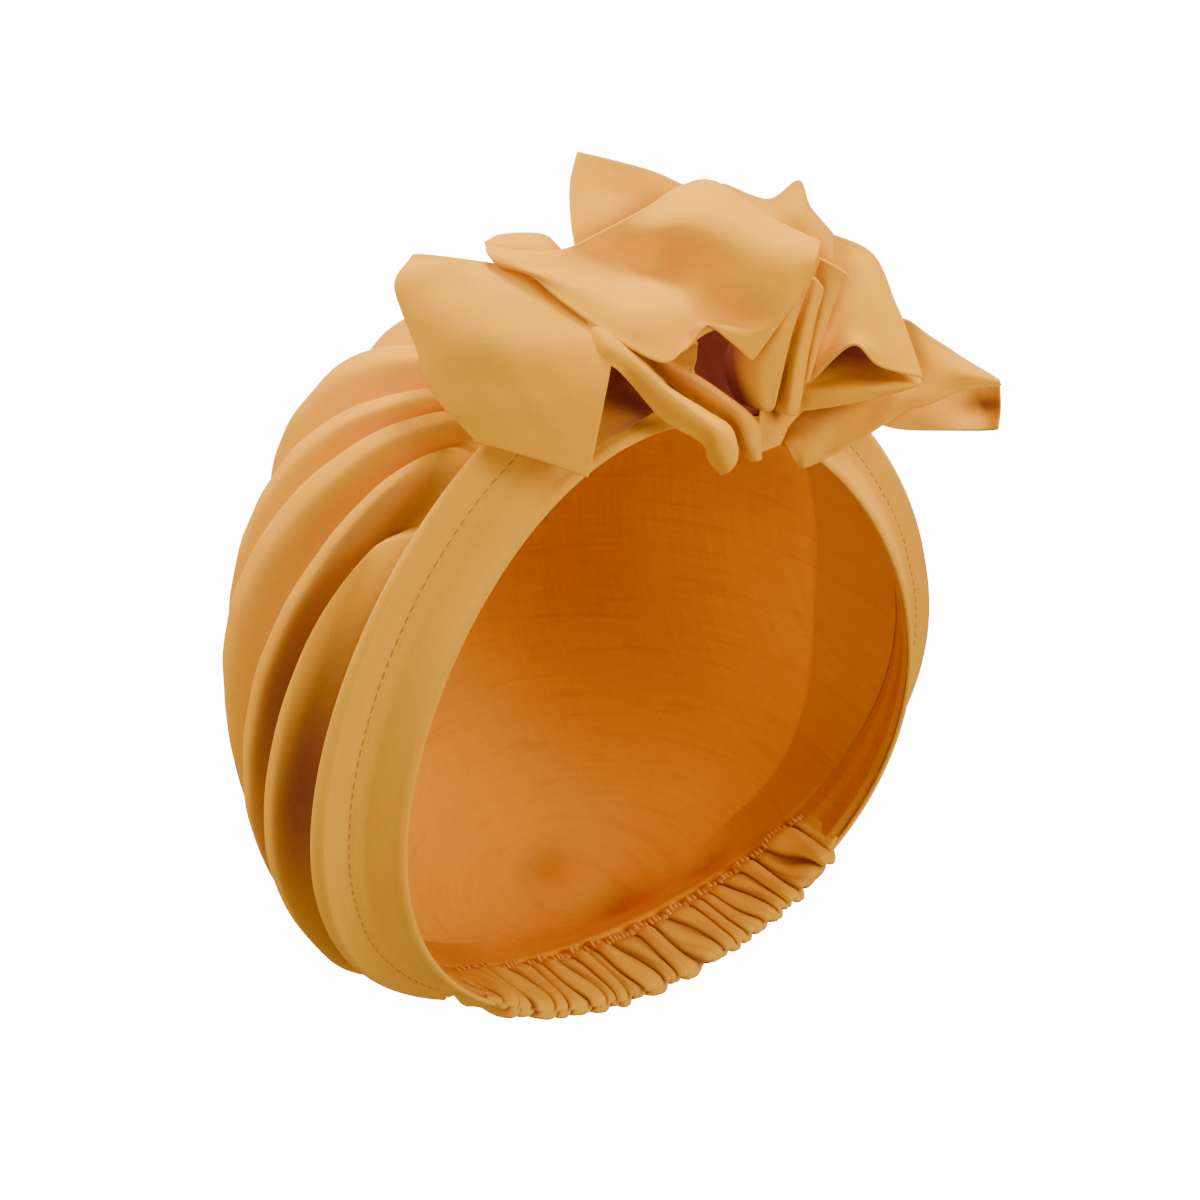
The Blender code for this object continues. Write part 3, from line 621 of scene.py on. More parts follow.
def lining():
    """Rings round the dome that end at the rim, or behind the casing at the nape, and a point at the top."""
    down = np.concatenate([np.linspace(0.02, 1.0, 170), np.linspace(1.0, 2.0, 60)[1:]])
    angle = np.linspace(0.0, 2.0 * pi, 301)
    down, angle = np.meshgrid(down, angle, indexing="ij")
    from_nape = np.abs(angle - pi) / radians(NAPE_HALF_ANGLE)
    end = LINING_NAPE_END + (LINING_END - LINING_NAPE_END) * smooth((from_nape - 0.90) / 0.06)
    way = np.where(down < 1.0, down, 1.0 + (end - 1.0) * (down - 1.0))
    # the second result is painted shade, from the facing and the dents
    level, shade = lining_level(angle, way)
    net = raised(angle, way, level)
    net[:, -1] = net[:, 0]
    rows, columns = net.shape[:2]
    points = np.concatenate([net[:, :-1].reshape(-1, 3), net[0].mean(0)[None]])
    index = np.arange(rows * (columns - 1)).reshape(rows, columns - 1)
    index = np.concatenate([index, index[:, :1]], 1)
    fan = [(len(points) - 1, index[0, j], index[0, j + 1]) for j in range(columns - 1)]
    shade = np.append(shade[:, :-1].ravel(), 0.0)
    flat_places = (points @ rim_basis().T)[:, :2]
    faces = grid_faces(index).tolist() + fan
    piece = mesh_piece("lining_cloth", points, faces, flat_places, LINING_ORANGE, shade)
    girth = np.linalg.norm(np.diff(net, axis=0), axis=-1).sum(0)
    girth = girth + np.roll(girth, len(girth) // 2)
    return piece


LINING = lining()

# %% [markdown]
# The hem is a doubled strip. It lies flat from the rim to a line of stitches and lifts beyond it into a
# soft crest. The stitches pull a shallow groove along the strip, with a small pucker at each one. One could
# bend a long box round the rim, but a level over the shell follows the rim and clears the crown by itself.

# %% The hem's shape
STITCH_PLACE = 0.0150
STITCH_PITCH = 0.0032
HEM_CLOTH = 0.0015
LIFT_START, LIFT_CURVE = 1.26, 1.4
GROOVE_WIDTH, GROOVE_DEPTH = 0.0011, 0.00022
ROLL_PLACE, ROLL_WIDTH, ROLL_HEIGHT = 0.0012, 0.0014, 0.0005
DRAWN_REACH, DRAWN_HEIGHT = 0.012, 0.0008


def hem_level(angle, way):
    """The middle of the hem's cloth over the shell: flat, a groove at the stitches, then a lifted edge.

    The groove and the roll at the rim are bells. Near its ends, waves draw the strip up as the elastic does.
    """
    clear = CROWN_WALL + LAYER_GAP + LINING_LEVEL + LAYER_GAP + HEM_WALL / 2
    lift = np.clip((LIFT_START - way) / (LIFT_START - 1.0), 0.0, 1.0) ** LIFT_CURVE
    level = clear * smooth((1.5 - way) / 0.35) + (HEM_EDGE_LIFT - clear) * lift
    from_rim = (2.0 - way) * HEM_WIDTH
    groove = np.exp(-((from_rim - STITCH_PLACE) / GROOVE_WIDTH) ** 2)
    pucker = 1.0 + 0.3 * np.sin(angle * 2.0 * pi * 0.095 / STITCH_PITCH) + 0.5 * np.sin(23.0 * angle)
    roll = ROLL_HEIGHT * np.exp(-((from_rim - ROLL_PLACE) / ROLL_WIDTH) ** 2)
    from_end = (pi - radians(NAPE_HALF_ANGLE) - np.abs(angle)) * HEAD_HALF_LENGTH
    drawn = np.exp(-(from_end / DRAWN_REACH) ** 2) * smooth((way - 1.0) / 0.2) * smooth((2.0 - way) / 0.1)
    drawn = DRAWN_HEIGHT * drawn * np.sin(26.0 * way + 14.0 * angle)
    return level + (HEM_WALL - HEM_CLOTH) / 2 - GROOVE_DEPTH * groove * pucker + roll + drawn


# %% Make the hem
END_GAP = 0.0006


def hem():
    """The hem from one side of the nape round the brow to the other."""
    half = pi - radians(NAPE_HALF_ANGLE) - END_GAP / HEAD_HALF_LENGTH
    angle = np.linspace(-half, half, 900)
    way = 2.0 - np.linspace(0.0, 1.0, 46)
    angle, way = np.meshgrid(angle, way, indexing="ij")
    net = raised(angle, way, hem_level(angle, way))
    print("hem, square metres of cloth:", round(cloth_area(net), 4))
    flat_size(net)
    return cloth_wall("hem_cloth", net, HEM_CLOTH, HEM_MUSTARD, shell_normal(angle, way) @ rim_basis())


HEM = hem()

# %% [markdown]
# Stitches are many small things of one shape. An Array modifier on a curve could set them out. Here one
# stitch is a rounded dash on a small grid, and numpy sets a copy at every step along the seam, turned to
# follow it, so that all of them are one light mesh.

# %% One stitch, many times
def stitches(name, path, out, length, radius, material):
    """Rounded dashes laid along a path of points: each is a spindle, thick in its middle."""
    along = np.linspace(0.0, 1.0, 7)
    turn = np.linspace(0.0, 2.0 * pi, 7)[:-1]
    thick = radius * np.sqrt(np.maximum(1.0 - (2.0 * along - 1.0) ** 4, 0.02))
    start, finish = path[:-1:2], path[1::2]
    reach = finish - start
    reach /= np.linalg.norm(reach, axis=-1, keepdims=True)
    up = out[:-1:2]
    side = np.cross(reach, up)
    centre = (start + finish) / 2
    body = centre[:, None, None] + reach[:, None, None] * ((along - 0.5) * length)[None, :, None, None]
    ring = side[:, None, None] * np.cos(turn)[None, None, :, None]
    ring = ring + up[:, None, None] * np.sin(turn)[None, None, :, None]
    points = body + ring * thick[None, :, None, None]
    count, rows, columns = points.shape[:3]
    index = np.arange(count * rows * columns).reshape(count, rows, columns)
    closed = np.concatenate([index, index[:, :, :1]], 2)
    a, b, c, d = closed[:, :-1, :-1], closed[:, 1:, :-1], closed[:, 1:, 1:], closed[:, :-1, 1:]
    faces = np.stack([a, b, c, d], -1).reshape(-1, 4)
    points = points.reshape(-1, 3)
    print(name, "stitches:", count)
    return mesh_piece(name, points, faces, np.zeros((len(points), 2)), material)


# %% The stitches of the hem
STITCH_LENGTH, STITCH_RADIUS = 0.0023, 0.00020


def hem_stitches():
    """The line of stitches along the hem."""
    half = pi - radians(NAPE_HALF_ANGLE) - 0.03
    fine = np.linspace(-half, half, 4000)
    way = np.full_like(fine, 2.0 - STITCH_PLACE / HEM_WIDTH)
    line = raised(fine, way, hem_level(fine, way) + HEM_CLOTH / 2)
    run = np.concatenate([[0.0], np.linalg.norm(np.diff(line, axis=0), axis=-1).cumsum()])
    ends = np.arange(0.0, run[-1], STITCH_PITCH / 2)
    angle = np.interp(ends[: len(ends) // 2 * 2], run, fine)
    way = np.full_like(angle, way[0])
    path = raised(angle, way, hem_level(angle, way) + HEM_CLOTH / 2 + 0.00005)
    out = shell_normal(angle, way) @ rim_basis()
    return stitches("hem_stitches", path, out, STITCH_LENGTH, STITCH_RADIUS, THREAD)


HEM_STITCHES = hem_stitches()

# %% [markdown]
# The nape is drawn in by elastic in a casing, a strip folded up round the cap's edge and sewn on both
# sides. From the front we look at its inner side. The cloth bunches into rounded pleats with sharp
# valleys, which lean to one side and are no two alike. Cloth simulation could gather a long strip, but a
# few waves do it and stay where the seam is: the absolute value of a sine is round at its top and sharp
# at its foot, and other waves shift it along the seam and vary its height.

# %% The casing's pleats
CASING_TOP = 1.06
CASING_PLEATS = 23
PLEAT_LEAN = 0.95


def pleat_place(share, way):
    """Counts the pleats along the casing: leaning with the way down, with uneven widths."""
    place = share * CASING_PLEATS + PLEAT_LEAN * (way - CASING_TOP)
    return place + 0.35 * np.sin(share * 17.0 + 0.8 * way) + 0.22 * np.sin(share * 41.0 + 1.0 - 1.2 * way)


def pleats(share, way):
    """Height of the pleats: round above, sharp below, some running out half way, with finer ones between."""
    place = pleat_place(share, way)
    main = np.abs(np.sin(pi * place)) ** 0.65
    strength = 0.74 + 0.26 * np.sin(9.7 * np.floor(place) + 1.0)
    fine = np.abs(np.sin(pi * (2.0 * place + 0.9 * way))) - 0.6
    return main * strength + (0.05 + 0.10 * smooth((way - 1.35) / 0.6)) * fine - 0.5


# %% The casing's net
NAPE_DROP = 0.0050
PLEAT_DEPTH = 0.0036
# painted shade in the pleats' valleys
PLEAT_PAINTED_SHADE = 0.85
CASING_PAST_HEM = 0.045
CASING_NET = (620, 74)


def casing_net():
    """The casing as a sheet bent into a U round the cap's edge: outer side, foot and inner side.

    The cut through it is a rounded box, so the way is a power of a sine and the level of a cosine.
    """
    half = radians(NAPE_HALF_ANGLE) + CASING_PAST_HEM
    angle = np.linspace(pi - half, pi + half, CASING_NET[0])
    turn = np.linspace(0.0, pi, CASING_NET[1])
    angle, turn = np.meshgrid(angle, turn, indexing="ij")
    share = (angle - pi + half) / (2.0 * half)
    round_in = np.abs(np.sin(turn)) ** 0.62
    side = np.sign(np.cos(turn)) * np.abs(np.cos(turn)) ** 0.55
    ends = smooth(share / 0.06) * smooth((1.0 - share) / 0.06)
    low = 1.98 + (NAPE_DROP / HEM_WIDTH - 0.05) * ends
    way = CASING_TOP + (low - CASING_TOP) * round_in
    depth = pleats(share + 0.013 * (side > 0), way)
    way = way + 0.12 * depth * smooth((way - 1.6) / 0.6) * (1.0 - np.abs(side) ** 3) * ends
    way = way - 0.05 * depth * smooth((1.16 - way) / 0.1)
    swell = 0.0004 + (0.0007 + 0.0026 * smooth((way - 1.04) / 0.35)) * ends
    centre = -0.0014 + 0.0010 * smooth((way - 1.3) / 0.6)
    outer = smooth(side / 0.6)
    centre = centre + 0.0040 * outer * smooth((1.7 - way) / 0.5)
    strength = 0.45 + 0.55 * smooth((way - CASING_TOP) / 0.3)
    level = centre + side * swell + side * depth * PLEAT_DEPTH * strength * ends
    # painted shade: the valleys between the pleats are darkened in the colour
    painted_shade = PLEAT_PAINTED_SHADE * smooth((0.10 - depth) / 0.42) * ends
    return raised(angle, way, level), painted_shade


# %% Make the casing
CASING_CLOTH = 0.0007


def casing():
    """The casing across the nape."""
    net, painted_shade = casing_net()
    flat_size(net)
    print("casing, square metres of cloth:", round(cloth_area(net), 4))
    return cloth_wall("casing_cloth", net, CASING_CLOTH, HEM_MUSTARD, painted_shade=painted_shade)


CASING = casing()

# %% [markdown]
# Where the casing's inner side is sewn to the cap, thread goes over its drawn edge. It is the same dash as
# on the hem, thicker, laid across each fine ruffle.

# %% The stitches of the casing
EDGE_STITCH_LENGTH, EDGE_STITCH_RADIUS = 0.0032, 0.00055


def casing_stitches():
    """Stitches over the drawn edge of the casing's inner side: one across each fine ruffle."""
    net, _ = casing_net()
    chosen = slice(12, -12, 6)
    edge, beside = net[chosen, -2], net[chosen, -7]
    out = grid_normals(net)[chosen, -2]
    step = (edge - beside) / np.linalg.norm(edge - beside, axis=-1, keepdims=True)
    start = edge - step * 0.0010 - out * 0.0005
    finish = edge + step * 0.0018 - out * 0.0005
    path = np.stack([start, finish], 1).reshape(-1, 3)
    out = np.repeat(out, 2, 0)
    return stitches("casing_stitches", path, out, EDGE_STITCH_LENGTH, EDGE_STITCH_RADIUS, EDGE_THREAD)


CASING_STITCHES = casing_stitches()

# %% [markdown]
# The bow is made of loops and tails of the same thin cloth, stacked on a small gather over the brow. Each
# is a strip that is bent, pinched and folded. We describe a cloth by a few sections, the way a sail or a
# boat is drawn: rows of points across the strip. A smooth curve through the sections, first along and then
# across, gives the sheet. The points are in sixtieths of the bow's span, measured from its root.

# %% The bow's own axes
BOW_SPAN = 0.157
BOW_SEAT = 0.0050
BOW_STAND_OFF = 0.006
BOW_YAW, BOW_LIFT, BOW_ROLL = -30.2, -5.2, -23.2
BOW_TAPER = 0.0035


def bow_frame():
    """The bow's root and its directions across, up and out."""
    yaw, lift, roll = radians(BOW_YAW), radians(BOW_LIFT), radians(BOW_ROLL)
    out = np.array([sin(yaw) * cos(lift), -cos(yaw) * cos(lift), sin(lift)])
    level = np.array([cos(yaw), sin(yaw), 0.0])
    upright = np.cross(out, level)
    across = level * cos(roll) + upright * sin(roll)
    up = upright * cos(roll) - level * sin(roll)
    seat = raised(radians(BOW_ANGLE), 2.0 - BOW_SEAT / HEM_WIDTH, 0.0)
    return seat + out * BOW_STAND_OFF, across, up, out


def bow_points(sections):
    """Section points turned into the world; the bow draws in a little as it comes forward."""
    root, across, up, out = bow_frame()
    unit = BOW_SPAN / 60.0
    table = np.array(sections) * unit
    draw = 1.0 - BOW_TAPER * table[..., 2:] / unit
    return root + (table[..., :1] * across + table[..., 1:2] * up) * draw + table[..., 2:] * out


def spline(points, count):
    """Even samples of the smooth curve through the points, taken along the first index."""
    first, last = 2 * points[0] - points[1], 2 * points[-1] - points[-2]
    padded = np.concatenate([first[None], points, last[None]])
    place = np.linspace(0.0, len(points) - 1.0, count)
    start = np.minimum(place.astype(int), len(points) - 2)
    t = (place - start).reshape((-1,) + (1,) * (points.ndim - 1))
    a, b, c, d = (padded[start + k] for k in range(4))
    curve = 2 * b + (c - a) * t + (2 * a - 5 * b + 4 * c - d) * t ** 2 + (3 * b - a - 3 * c + d) * t ** 3
    return curve / 2


print("bow root, mm:", [round(float(x) * 1000, 1) for x in bow_frame()[0]])

# %% [markdown]
# The big loop on the wearer's right: a wide strip bent back on itself, open toward the middle of the bow.

# %% The left loop
LEFT_LOOP = (
    ((-17.8, 11.6, 11.6), (-23.4, 14.2, 11.6), (-30.0, 15.4, 11.0), (-34.2, 15.7, 7.6), (-31.0, 14.6, 5.6),
     (-25.0, 12.0, 5.4), (-13.5, 8.8, 6.6)),
    ((-16.0, 9.0, 13.2), (-21.6, 10.4, 13.6), (-29.0, 13.0, 12.8), (-35.9, 12.7, 8.6), (-28.0, 11.5, 6.0),
     (-17.0, 7.0, 7.4), (-11.0, 4.8, 8.0)),
    ((-14.8, 5.8, 14.2), (-21.5, 6.5, 15.2), (-29.0, 8.0, 14.8), (-34.2, 7.5, 10.0), (-27.5, 7.0, 7.4),
     (-15.4, 3.0, 8.6), (-9.0, 2.0, 8.6)),
    ((-15.5, 1.2, 14.6), (-21.5, 1.5, 15.2), (-28.0, 2.8, 14.4), (-32.4, 2.5, 11.2), (-27.0, 1.5, 9.6),
     (-16.0, -0.4, 10.2), (-10.4, 0.4, 9.2)),
    ((-17.0, -6.0, 13.8), (-21.5, -4.4, 14.0), (-25.0, -3.4, 13.8), (-28.0, -2.5, 12.6), (-24.0, -3.2, 12.0),
     (-18.0, -4.2, 12.0), (-15.6, -2.8, 11.0)),
)

# %% [markdown]
# A rolled strip that runs from inside the left loop down to the root.

# %% The left fold
LEFT_FOLD = (
    ((-19.6, 6.0, 12.4), (-19.2, 7.4, 12.4), (-18.8, 8.8, 12.0), (-18.4, 10.2, 11.2)),
    ((-15.2, 5.3, 14.3), (-15.2, 6.6, 14.7), (-15.6, 8.0, 14.3), (-16.2, 9.3, 13.3)),
    ((-12.9, 3.6, 12.6), (-12.4, 4.8, 13.6), (-12.6, 6.0, 13.3), (-13.2, 6.9, 11.6)),
    ((-9.5, -0.2, 10.4), (-8.6, 1.0, 11.8), (-8.6, 2.2, 12.0), (-9.2, 3.0, 10.4)),
    ((-5.6, -2.6, 8.6), (-4.8, -1.6, 10.0), (-4.8, -0.6, 10.2), (-5.2, 0.4, 8.8)),
    ((-4.8, -4.4, 7.8), (-3.8, -3.4, 9.2), (-3.0, -2.2, 9.2), (-2.8, -1.2, 8.0)),
    ((-3.6, -5.8, 7.6), (-2.8, -5.4, 8.4), (-2.2, -4.6, 8.4), (-2.0, -3.4, 7.8)),
)

# %% [markdown]
# A second roll beside it, which passes under the centre swath.

# %% The middle fold
MIDDLE_FOLD = (
    ((-13.0, 7.4, 9.6), (-12.0, 7.2, 11.2), (-11.0, 6.4, 11.0), (-9.8, 5.4, 9.6)),
    ((-9.4, 3.8, 8.6), (-8.8, 4.4, 10.0), (-8.0, 4.6, 10.0), (-7.4, 4.6, 8.8)),
    ((-5.6, 1.0, 7.0), (-4.9, 1.8, 8.4), (-4.2, 2.2, 8.4), (-3.6, 2.2, 7.4)),
    ((-3.0, -0.8, 5.8), (-2.2, 0.0, 7.2), (-1.2, -0.2, 7.2), (-0.2, -0.6, 6.2)),
    ((-1.8, -3.2, 5.6), (-1.0, -2.8, 6.6), (-0.2, -2.8, 6.6), (0.2, -3.0, 5.8)),
    ((-0.6, -4.4, 5.6), (-0.2, -4.4, 6.0), (0.0, -4.4, 6.0), (0.3, -4.3, 5.6)),
)

# %% [markdown]
# The end of a pleat that shows between the left loop and the swath.

# %% The small loop
SMALL_LOOP = (
    ((-27.0, 17.0, 9.8), (-26.7, 16.3, 10.5), (-26.0, 15.4, 10.9)),
    ((-25.3, 17.7, 8.6), (-25.0, 16.6, 9.8), (-24.4, 15.0, 10.6)),
    ((-21.4, 17.7, 7.4), (-21.2, 16.3, 8.8), (-20.8, 14.0, 9.6)),
    ((-19.5, 16.2, 6.8), (-19.2, 15.0, 7.8), (-18.8, 13.0, 8.6)),
)

# %% [markdown]
# A stiff peak that stands behind the swath.

# %% The top loop
TOP_LOOP = (
    ((-17.8, 25.7, 3.0), (-18.5, 22.6, 4.6), (-18.4, 19.0, 6.2), (-17.8, 15.4, 7.4)),
    ((-14.4, 24.9, 2.0), (-14.8, 22.0, 3.0), (-14.8, 18.6, 4.6), (-14.2, 14.4, 5.0)),
    ((-10.4, 23.8, 1.2), (-10.6, 21.4, 1.8), (-10.4, 18.0, 2.0), (-9.8, 13.0, 1.4)),
    ((-7.2, 22.4, 3.85), (-7.2, 20.6, 4.2), (-6.8, 17.2, 3.4), (-6.2, 12.0, 2.2)),
)

# %% [markdown]
# The wide cloth over the middle, with one broad valley and a bright ridge below it.

# %% The centre swath
CENTRE_SWATH = (
    ((-26.9, 16.6, 10.8), (-23.4, 16.1, 11.4), (-19.4, 16.2, 10.2), (-15.4, 18.0, 8.6), (-11.2, 20.2, 6.6),
     (-7.6, 22.4, 4.6), (-4.2, 22.8, 4.0), (1.0, 19.4, 5.0), (6.0, 17.0, 6.6)),
    ((-26.8, 16.0, 11.8), (-23.2, 15.2, 12.4), (-19.2, 15.0, 10.8), (-15.0, 16.4, 7.6), (-10.6, 18.0, 7.4),
     (-6.6, 19.0, 8.0), (-2.4, 18.6, 8.2), (1.8, 16.6, 8.4), (5.6, 15.4, 7.8)),
    ((-26.4, 15.4, 12.2), (-22.8, 14.6, 12.8), (-18.6, 13.8, 11.6), (-14.2, 13.8, 8.0), (-9.6, 14.2, 6.0),
     (-5.2, 14.2, 7.2), (-1.0, 13.6, 8.8), (2.4, 13.0, 8.8), (4.6, 13.4, 8.0)),
    ((-26.0, 15.0, 12.2), (-22.4, 14.0, 13.2), (-18.0, 12.4, 13.0), (-13.6, 10.8, 12.2), (-9.4, 10.0, 10.8),
     (-5.4, 9.8, 7.4), (-1.6, 9.0, 7.2), (1.4, 9.2, 8.2), (3.0, 10.4, 7.8)),
    ((-25.4, 14.7, 11.8), (-22.4, 13.8, 12.8), (-19.4, 11.3, 13.6), (-15.0, 8.2, 13.8), (-9.8, 5.4, 12.6),
     (-7.4, 6.4, 10.4), (-5.2, 8.8, 9.2), (-2.6, 7.3, 8.2), (-0.6, 5.5, 7.8)),
)

# %% [markdown]
# The cloth at the back of the gap between the swath and the folds, coloured almost all by painted shade.

# %% Inside the bow
INNER_FOLD = (
    ((-13.0, 12.0, 1.6), (-8.0, 13.0, 1.0), (-2.0, 13.0, 1.0), (3.0, 12.0, 1.4)),
    ((-12.4, 8.0, 2.4), (-7.6, 7.6, 0.8), (-2.4, 7.6, 0.6), (2.6, 7.0, 1.6)),
    ((-10.0, 4.4, 3.2), (-6.6, 3.6, 1.2), (-2.0, 3.2, 0.9), (2.4, 3.0, 1.8)),
    ((-5.6, 0.8, 4.4), (-3.4, 0.0, 2.4), (-0.6, 0.0, 1.6), (2.0, 0.4, 2.2)),
)

# %% [markdown]
# Three narrow pleats stacked at the swath's right end.

# %% The pleats
PLEAT_1 = (
    ((4.8, 16.4, 5.0), (5.6, 16.0, 6.0), (6.0, 15.2, 5.8)),
    ((0.4, 12.0, 4.2), (3.4, 12.0, 6.2), (4.5, 12.0, 5.8)),
    ((-1.8, 8.6, 2.8), (1.4, 8.0, 5.8), (3.2, 8.0, 5.6)),
    ((-3.2, 5.2, 1.8), (-0.4, 4.4, 5.0), (2.2, 3.8, 5.1)),
    ((-2.2, 1.8, 2.2), (0.0, 1.4, 4.7), (1.6, 1.1, 4.8)),
    ((-0.4, 0.8, 3.6), (0.5, 0.6, 4.5), (1.2, 0.5, 4.4)),
)
PLEAT_2 = (
    ((5.2, 13.6, 3.6), (5.8, 13.2, 4.6), (6.4, 12.4, 4.2)),
    ((4.0, 9.6, 3.4), (4.8, 9.6, 4.6), (5.6, 9.6, 4.0)),
    ((2.8, 5.2, 3.0), (3.8, 5.4, 4.4), (4.8, 5.6, 3.8)),
    ((2.2, 1.6, 2.6), (3.2, 1.6, 4.0), (4.2, 1.6, 3.4)),
    ((2.0, 0.5, 2.6), (2.9, 0.2, 3.4), (3.8, 0.1, 3.1)),
)
PLEAT_3 = (
    ((6.0, 15.4, 3.2), (7.2, 14.8, 3.4), (8.8, 13.8, 3.2)),
    ((5.8, 12.8, 2.6), (6.8, 12.4, 3.0), (8.0, 12.6, 2.8)),
    ((5.2, 9.0, 1.8), (6.0, 9.0, 2.7), (6.8, 9.2, 2.3)),
    ((4.6, 5.6, 1.4), (5.2, 5.8, 2.4), (5.8, 6.2, 2.0)),
    ((4.3, 3.0, 1.2), (4.7, 3.2, 2.0), (5.1, 3.6, 1.7)),
)

# %% [markdown]
# A loop whose peaks show over the swath.

# %% The back loop
BACK_LOOP = (
    ((-3.4, 22.6, 0.0), (-2.6, 18.0, 1.2), (-1.0, 12.0, 1.4)),
    ((1.0, 21.1, -0.8), (1.4, 17.0, 1.2), (1.4, 11.0, 1.2)),
    ((4.0, 22.9, -0.2), (4.0, 17.4, 1.6), (3.4, 10.6, 1.0)),
    ((5.1, 20.4, 0.4), (5.2, 16.4, 1.6), (4.8, 10.2, 0.8)),
    ((7.3, 17.8, 0.0), (7.2, 14.6, 1.0), (6.0, 9.6, 0.0)),
)

# %% [markdown]
# A loop that stands up on the wearer's left, open below.

# %% The right loop
RIGHT_LOOP = (
    ((4.4, 3.6, 0.0), (5.4, 9.2, -1.0), (6.2, 14.0, -0.8), (6.4, 18.0, -1.4)),
    ((4.6, 3.6, 0.6), (7.4, 8.6, 1.0), (9.8, 13.0, 0.6), (11.2, 15.8, -0.8)),
    ((4.7, 3.5, 0.8), (8.2, 7.6, 2.2), (11.4, 9.8, 1.6), (13.5, 11.0, -0.4)),
    ((4.8, 3.4, 0.8), (9.2, 7.5, 3.0), (12.4, 6.2, 2.2), (14.6, 8.4, 0.0)),
    ((5.0, 3.2, 0.6), (9.3, 7.0, 3.4), (12.0, 5.0, 2.6), (16.2, 3.8, 0.8)),
)

# %% [markdown]
# The fold below the right loop's mouth, and the wall at the back of the mouth.

# %% Under the right loop
RIGHT_UNDER = (
    ((5.0, 7.8, -1.6), (8.8, 8.2, -1.9), (12.0, 7.0, -1.6), (15.0, 5.0, -0.9)),
    ((3.6, 3.0, -0.4), (8.0, 4.1, -0.8), (12.0, 3.8, -0.4), (16.1, 3.3, 0.0)),
    ((3.4, 2.0, 0.4), (8.0, 2.6, 1.6), (12.0, 2.8, 1.6), (15.6, 3.0, 0.2)),
    ((3.4, 0.4, 0.0), (7.6, 1.0, 0.8), (11.6, 1.8, 0.8), (14.6, 2.6, -0.2)),
)

# %% [markdown]
# The long tail: its front and its back wall.

# %% The far right loop
FAR_RIGHT_LOOP = (
    ((23.8, 3.5, -1.6), (23.9, 3.3, -1.4), (24.0, 3.0, -1.6)),
    ((20.6, 5.4, -1.8), (20.8, 4.0, -0.6), (20.5, 2.6, -1.0)),
    ((17.2, 7.6, -2.4), (17.4, 4.6, -1.2), (17.0, 1.2, -0.8)),
    ((14.0, 9.3, -2.8), (14.6, 4.8, -2.6), (14.6, 0.5, -1.2)),
    ((11.4, 5.0, -3.6), (11.6, 2.0, -2.4), (11.5, -1.5, -0.4)),
    ((8.4, 2.4, -2.8), (8.4, -0.4, -1.0), (8.0, -3.6, 0.4)),
    ((4.6, 0.2, -1.4), (5.0, -2.4, 0.4), (5.0, -5.0, 0.4)),
    ((2.4, -2.3, -0.6), (3.2, -3.4, 0.2), (4.2, -5.0, 0.0)),
)
FAR_RIGHT_BACK = (
    ((11.4, 1.2, -3.8), (11.6, 0.2, -3.4), (12.0, -0.8, -3.6)),
    ((14.8, 1.8, -4.4), (14.8, 0.2, -3.8), (14.6, -1.3, -3.8)),
    ((18.4, 2.6, -4.6), (18.6, 0.4, -4.0), (18.6, -1.4, -3.6)),
    ((21.8, 3.2, -5.4), (22.2, 0.8, -5.2), (22.4, -1.4, -3.6)),
    ((23.9, 3.0, -2.15), (24.0, 0.8, -2.4), (23.8, -1.3, -2.2)),
)

# %% [markdown]
# A small fold that covers the root.

# %% The petal
PETAL = (
    ((0.4, 0.6, 2.2), (2.0, 0.6, 1.9), (3.4, 0.4, 0.7)),
    ((0.2, -1.0, 2.6), (1.6, -1.2, 2.2), (2.8, -1.4, 0.8)),
    ((0.2, -3.6, 2.8), (1.2, -3.2, 2.2), (2.2, -2.8, 1.0)),
)

# %% [markdown]
# With the tables in place, one loop makes every cloth of the bow. A finer net than the solids have lets
# the bends come out round, and small crinkles are added along the normals, as thin cotton shows wherever
# it has been pressed and bent. The crinkles are a few crossing waves, faded out at the cloth's edges.

# %% List the bow's cloths
# piece, sections, points along, points across
BOW_CLOTHS = (
    ("bow_left_loop", LEFT_LOOP, 110, 150),
    ("bow_left_fold", LEFT_FOLD, 90, 60),
    ("bow_middle_fold", MIDDLE_FOLD, 90, 60),
    ("bow_small_loop", SMALL_LOOP, 60, 40),
    ("bow_top_loop", TOP_LOOP, 80, 70),
    ("bow_centre_swath", CENTRE_SWATH, 110, 170),
    ("bow_pleat_1", PLEAT_1, 90, 36),
    ("bow_pleat_2", PLEAT_2, 80, 36),
    ("bow_pleat_3", PLEAT_3, 80, 36),
    ("bow_back_loop", BACK_LOOP, 90, 60),
    ("bow_right_loop", RIGHT_LOOP, 100, 90),
    ("bow_right_under", RIGHT_UNDER, 70, 80),
    ("bow_far_right_loop", FAR_RIGHT_LOOP, 130, 60),
    ("bow_far_right_back", FAR_RIGHT_BACK, 80, 50),
    ("bow_petal", PETAL, 50, 50),
    ("bow_inner_fold", INNER_FOLD, 50, 50),
)
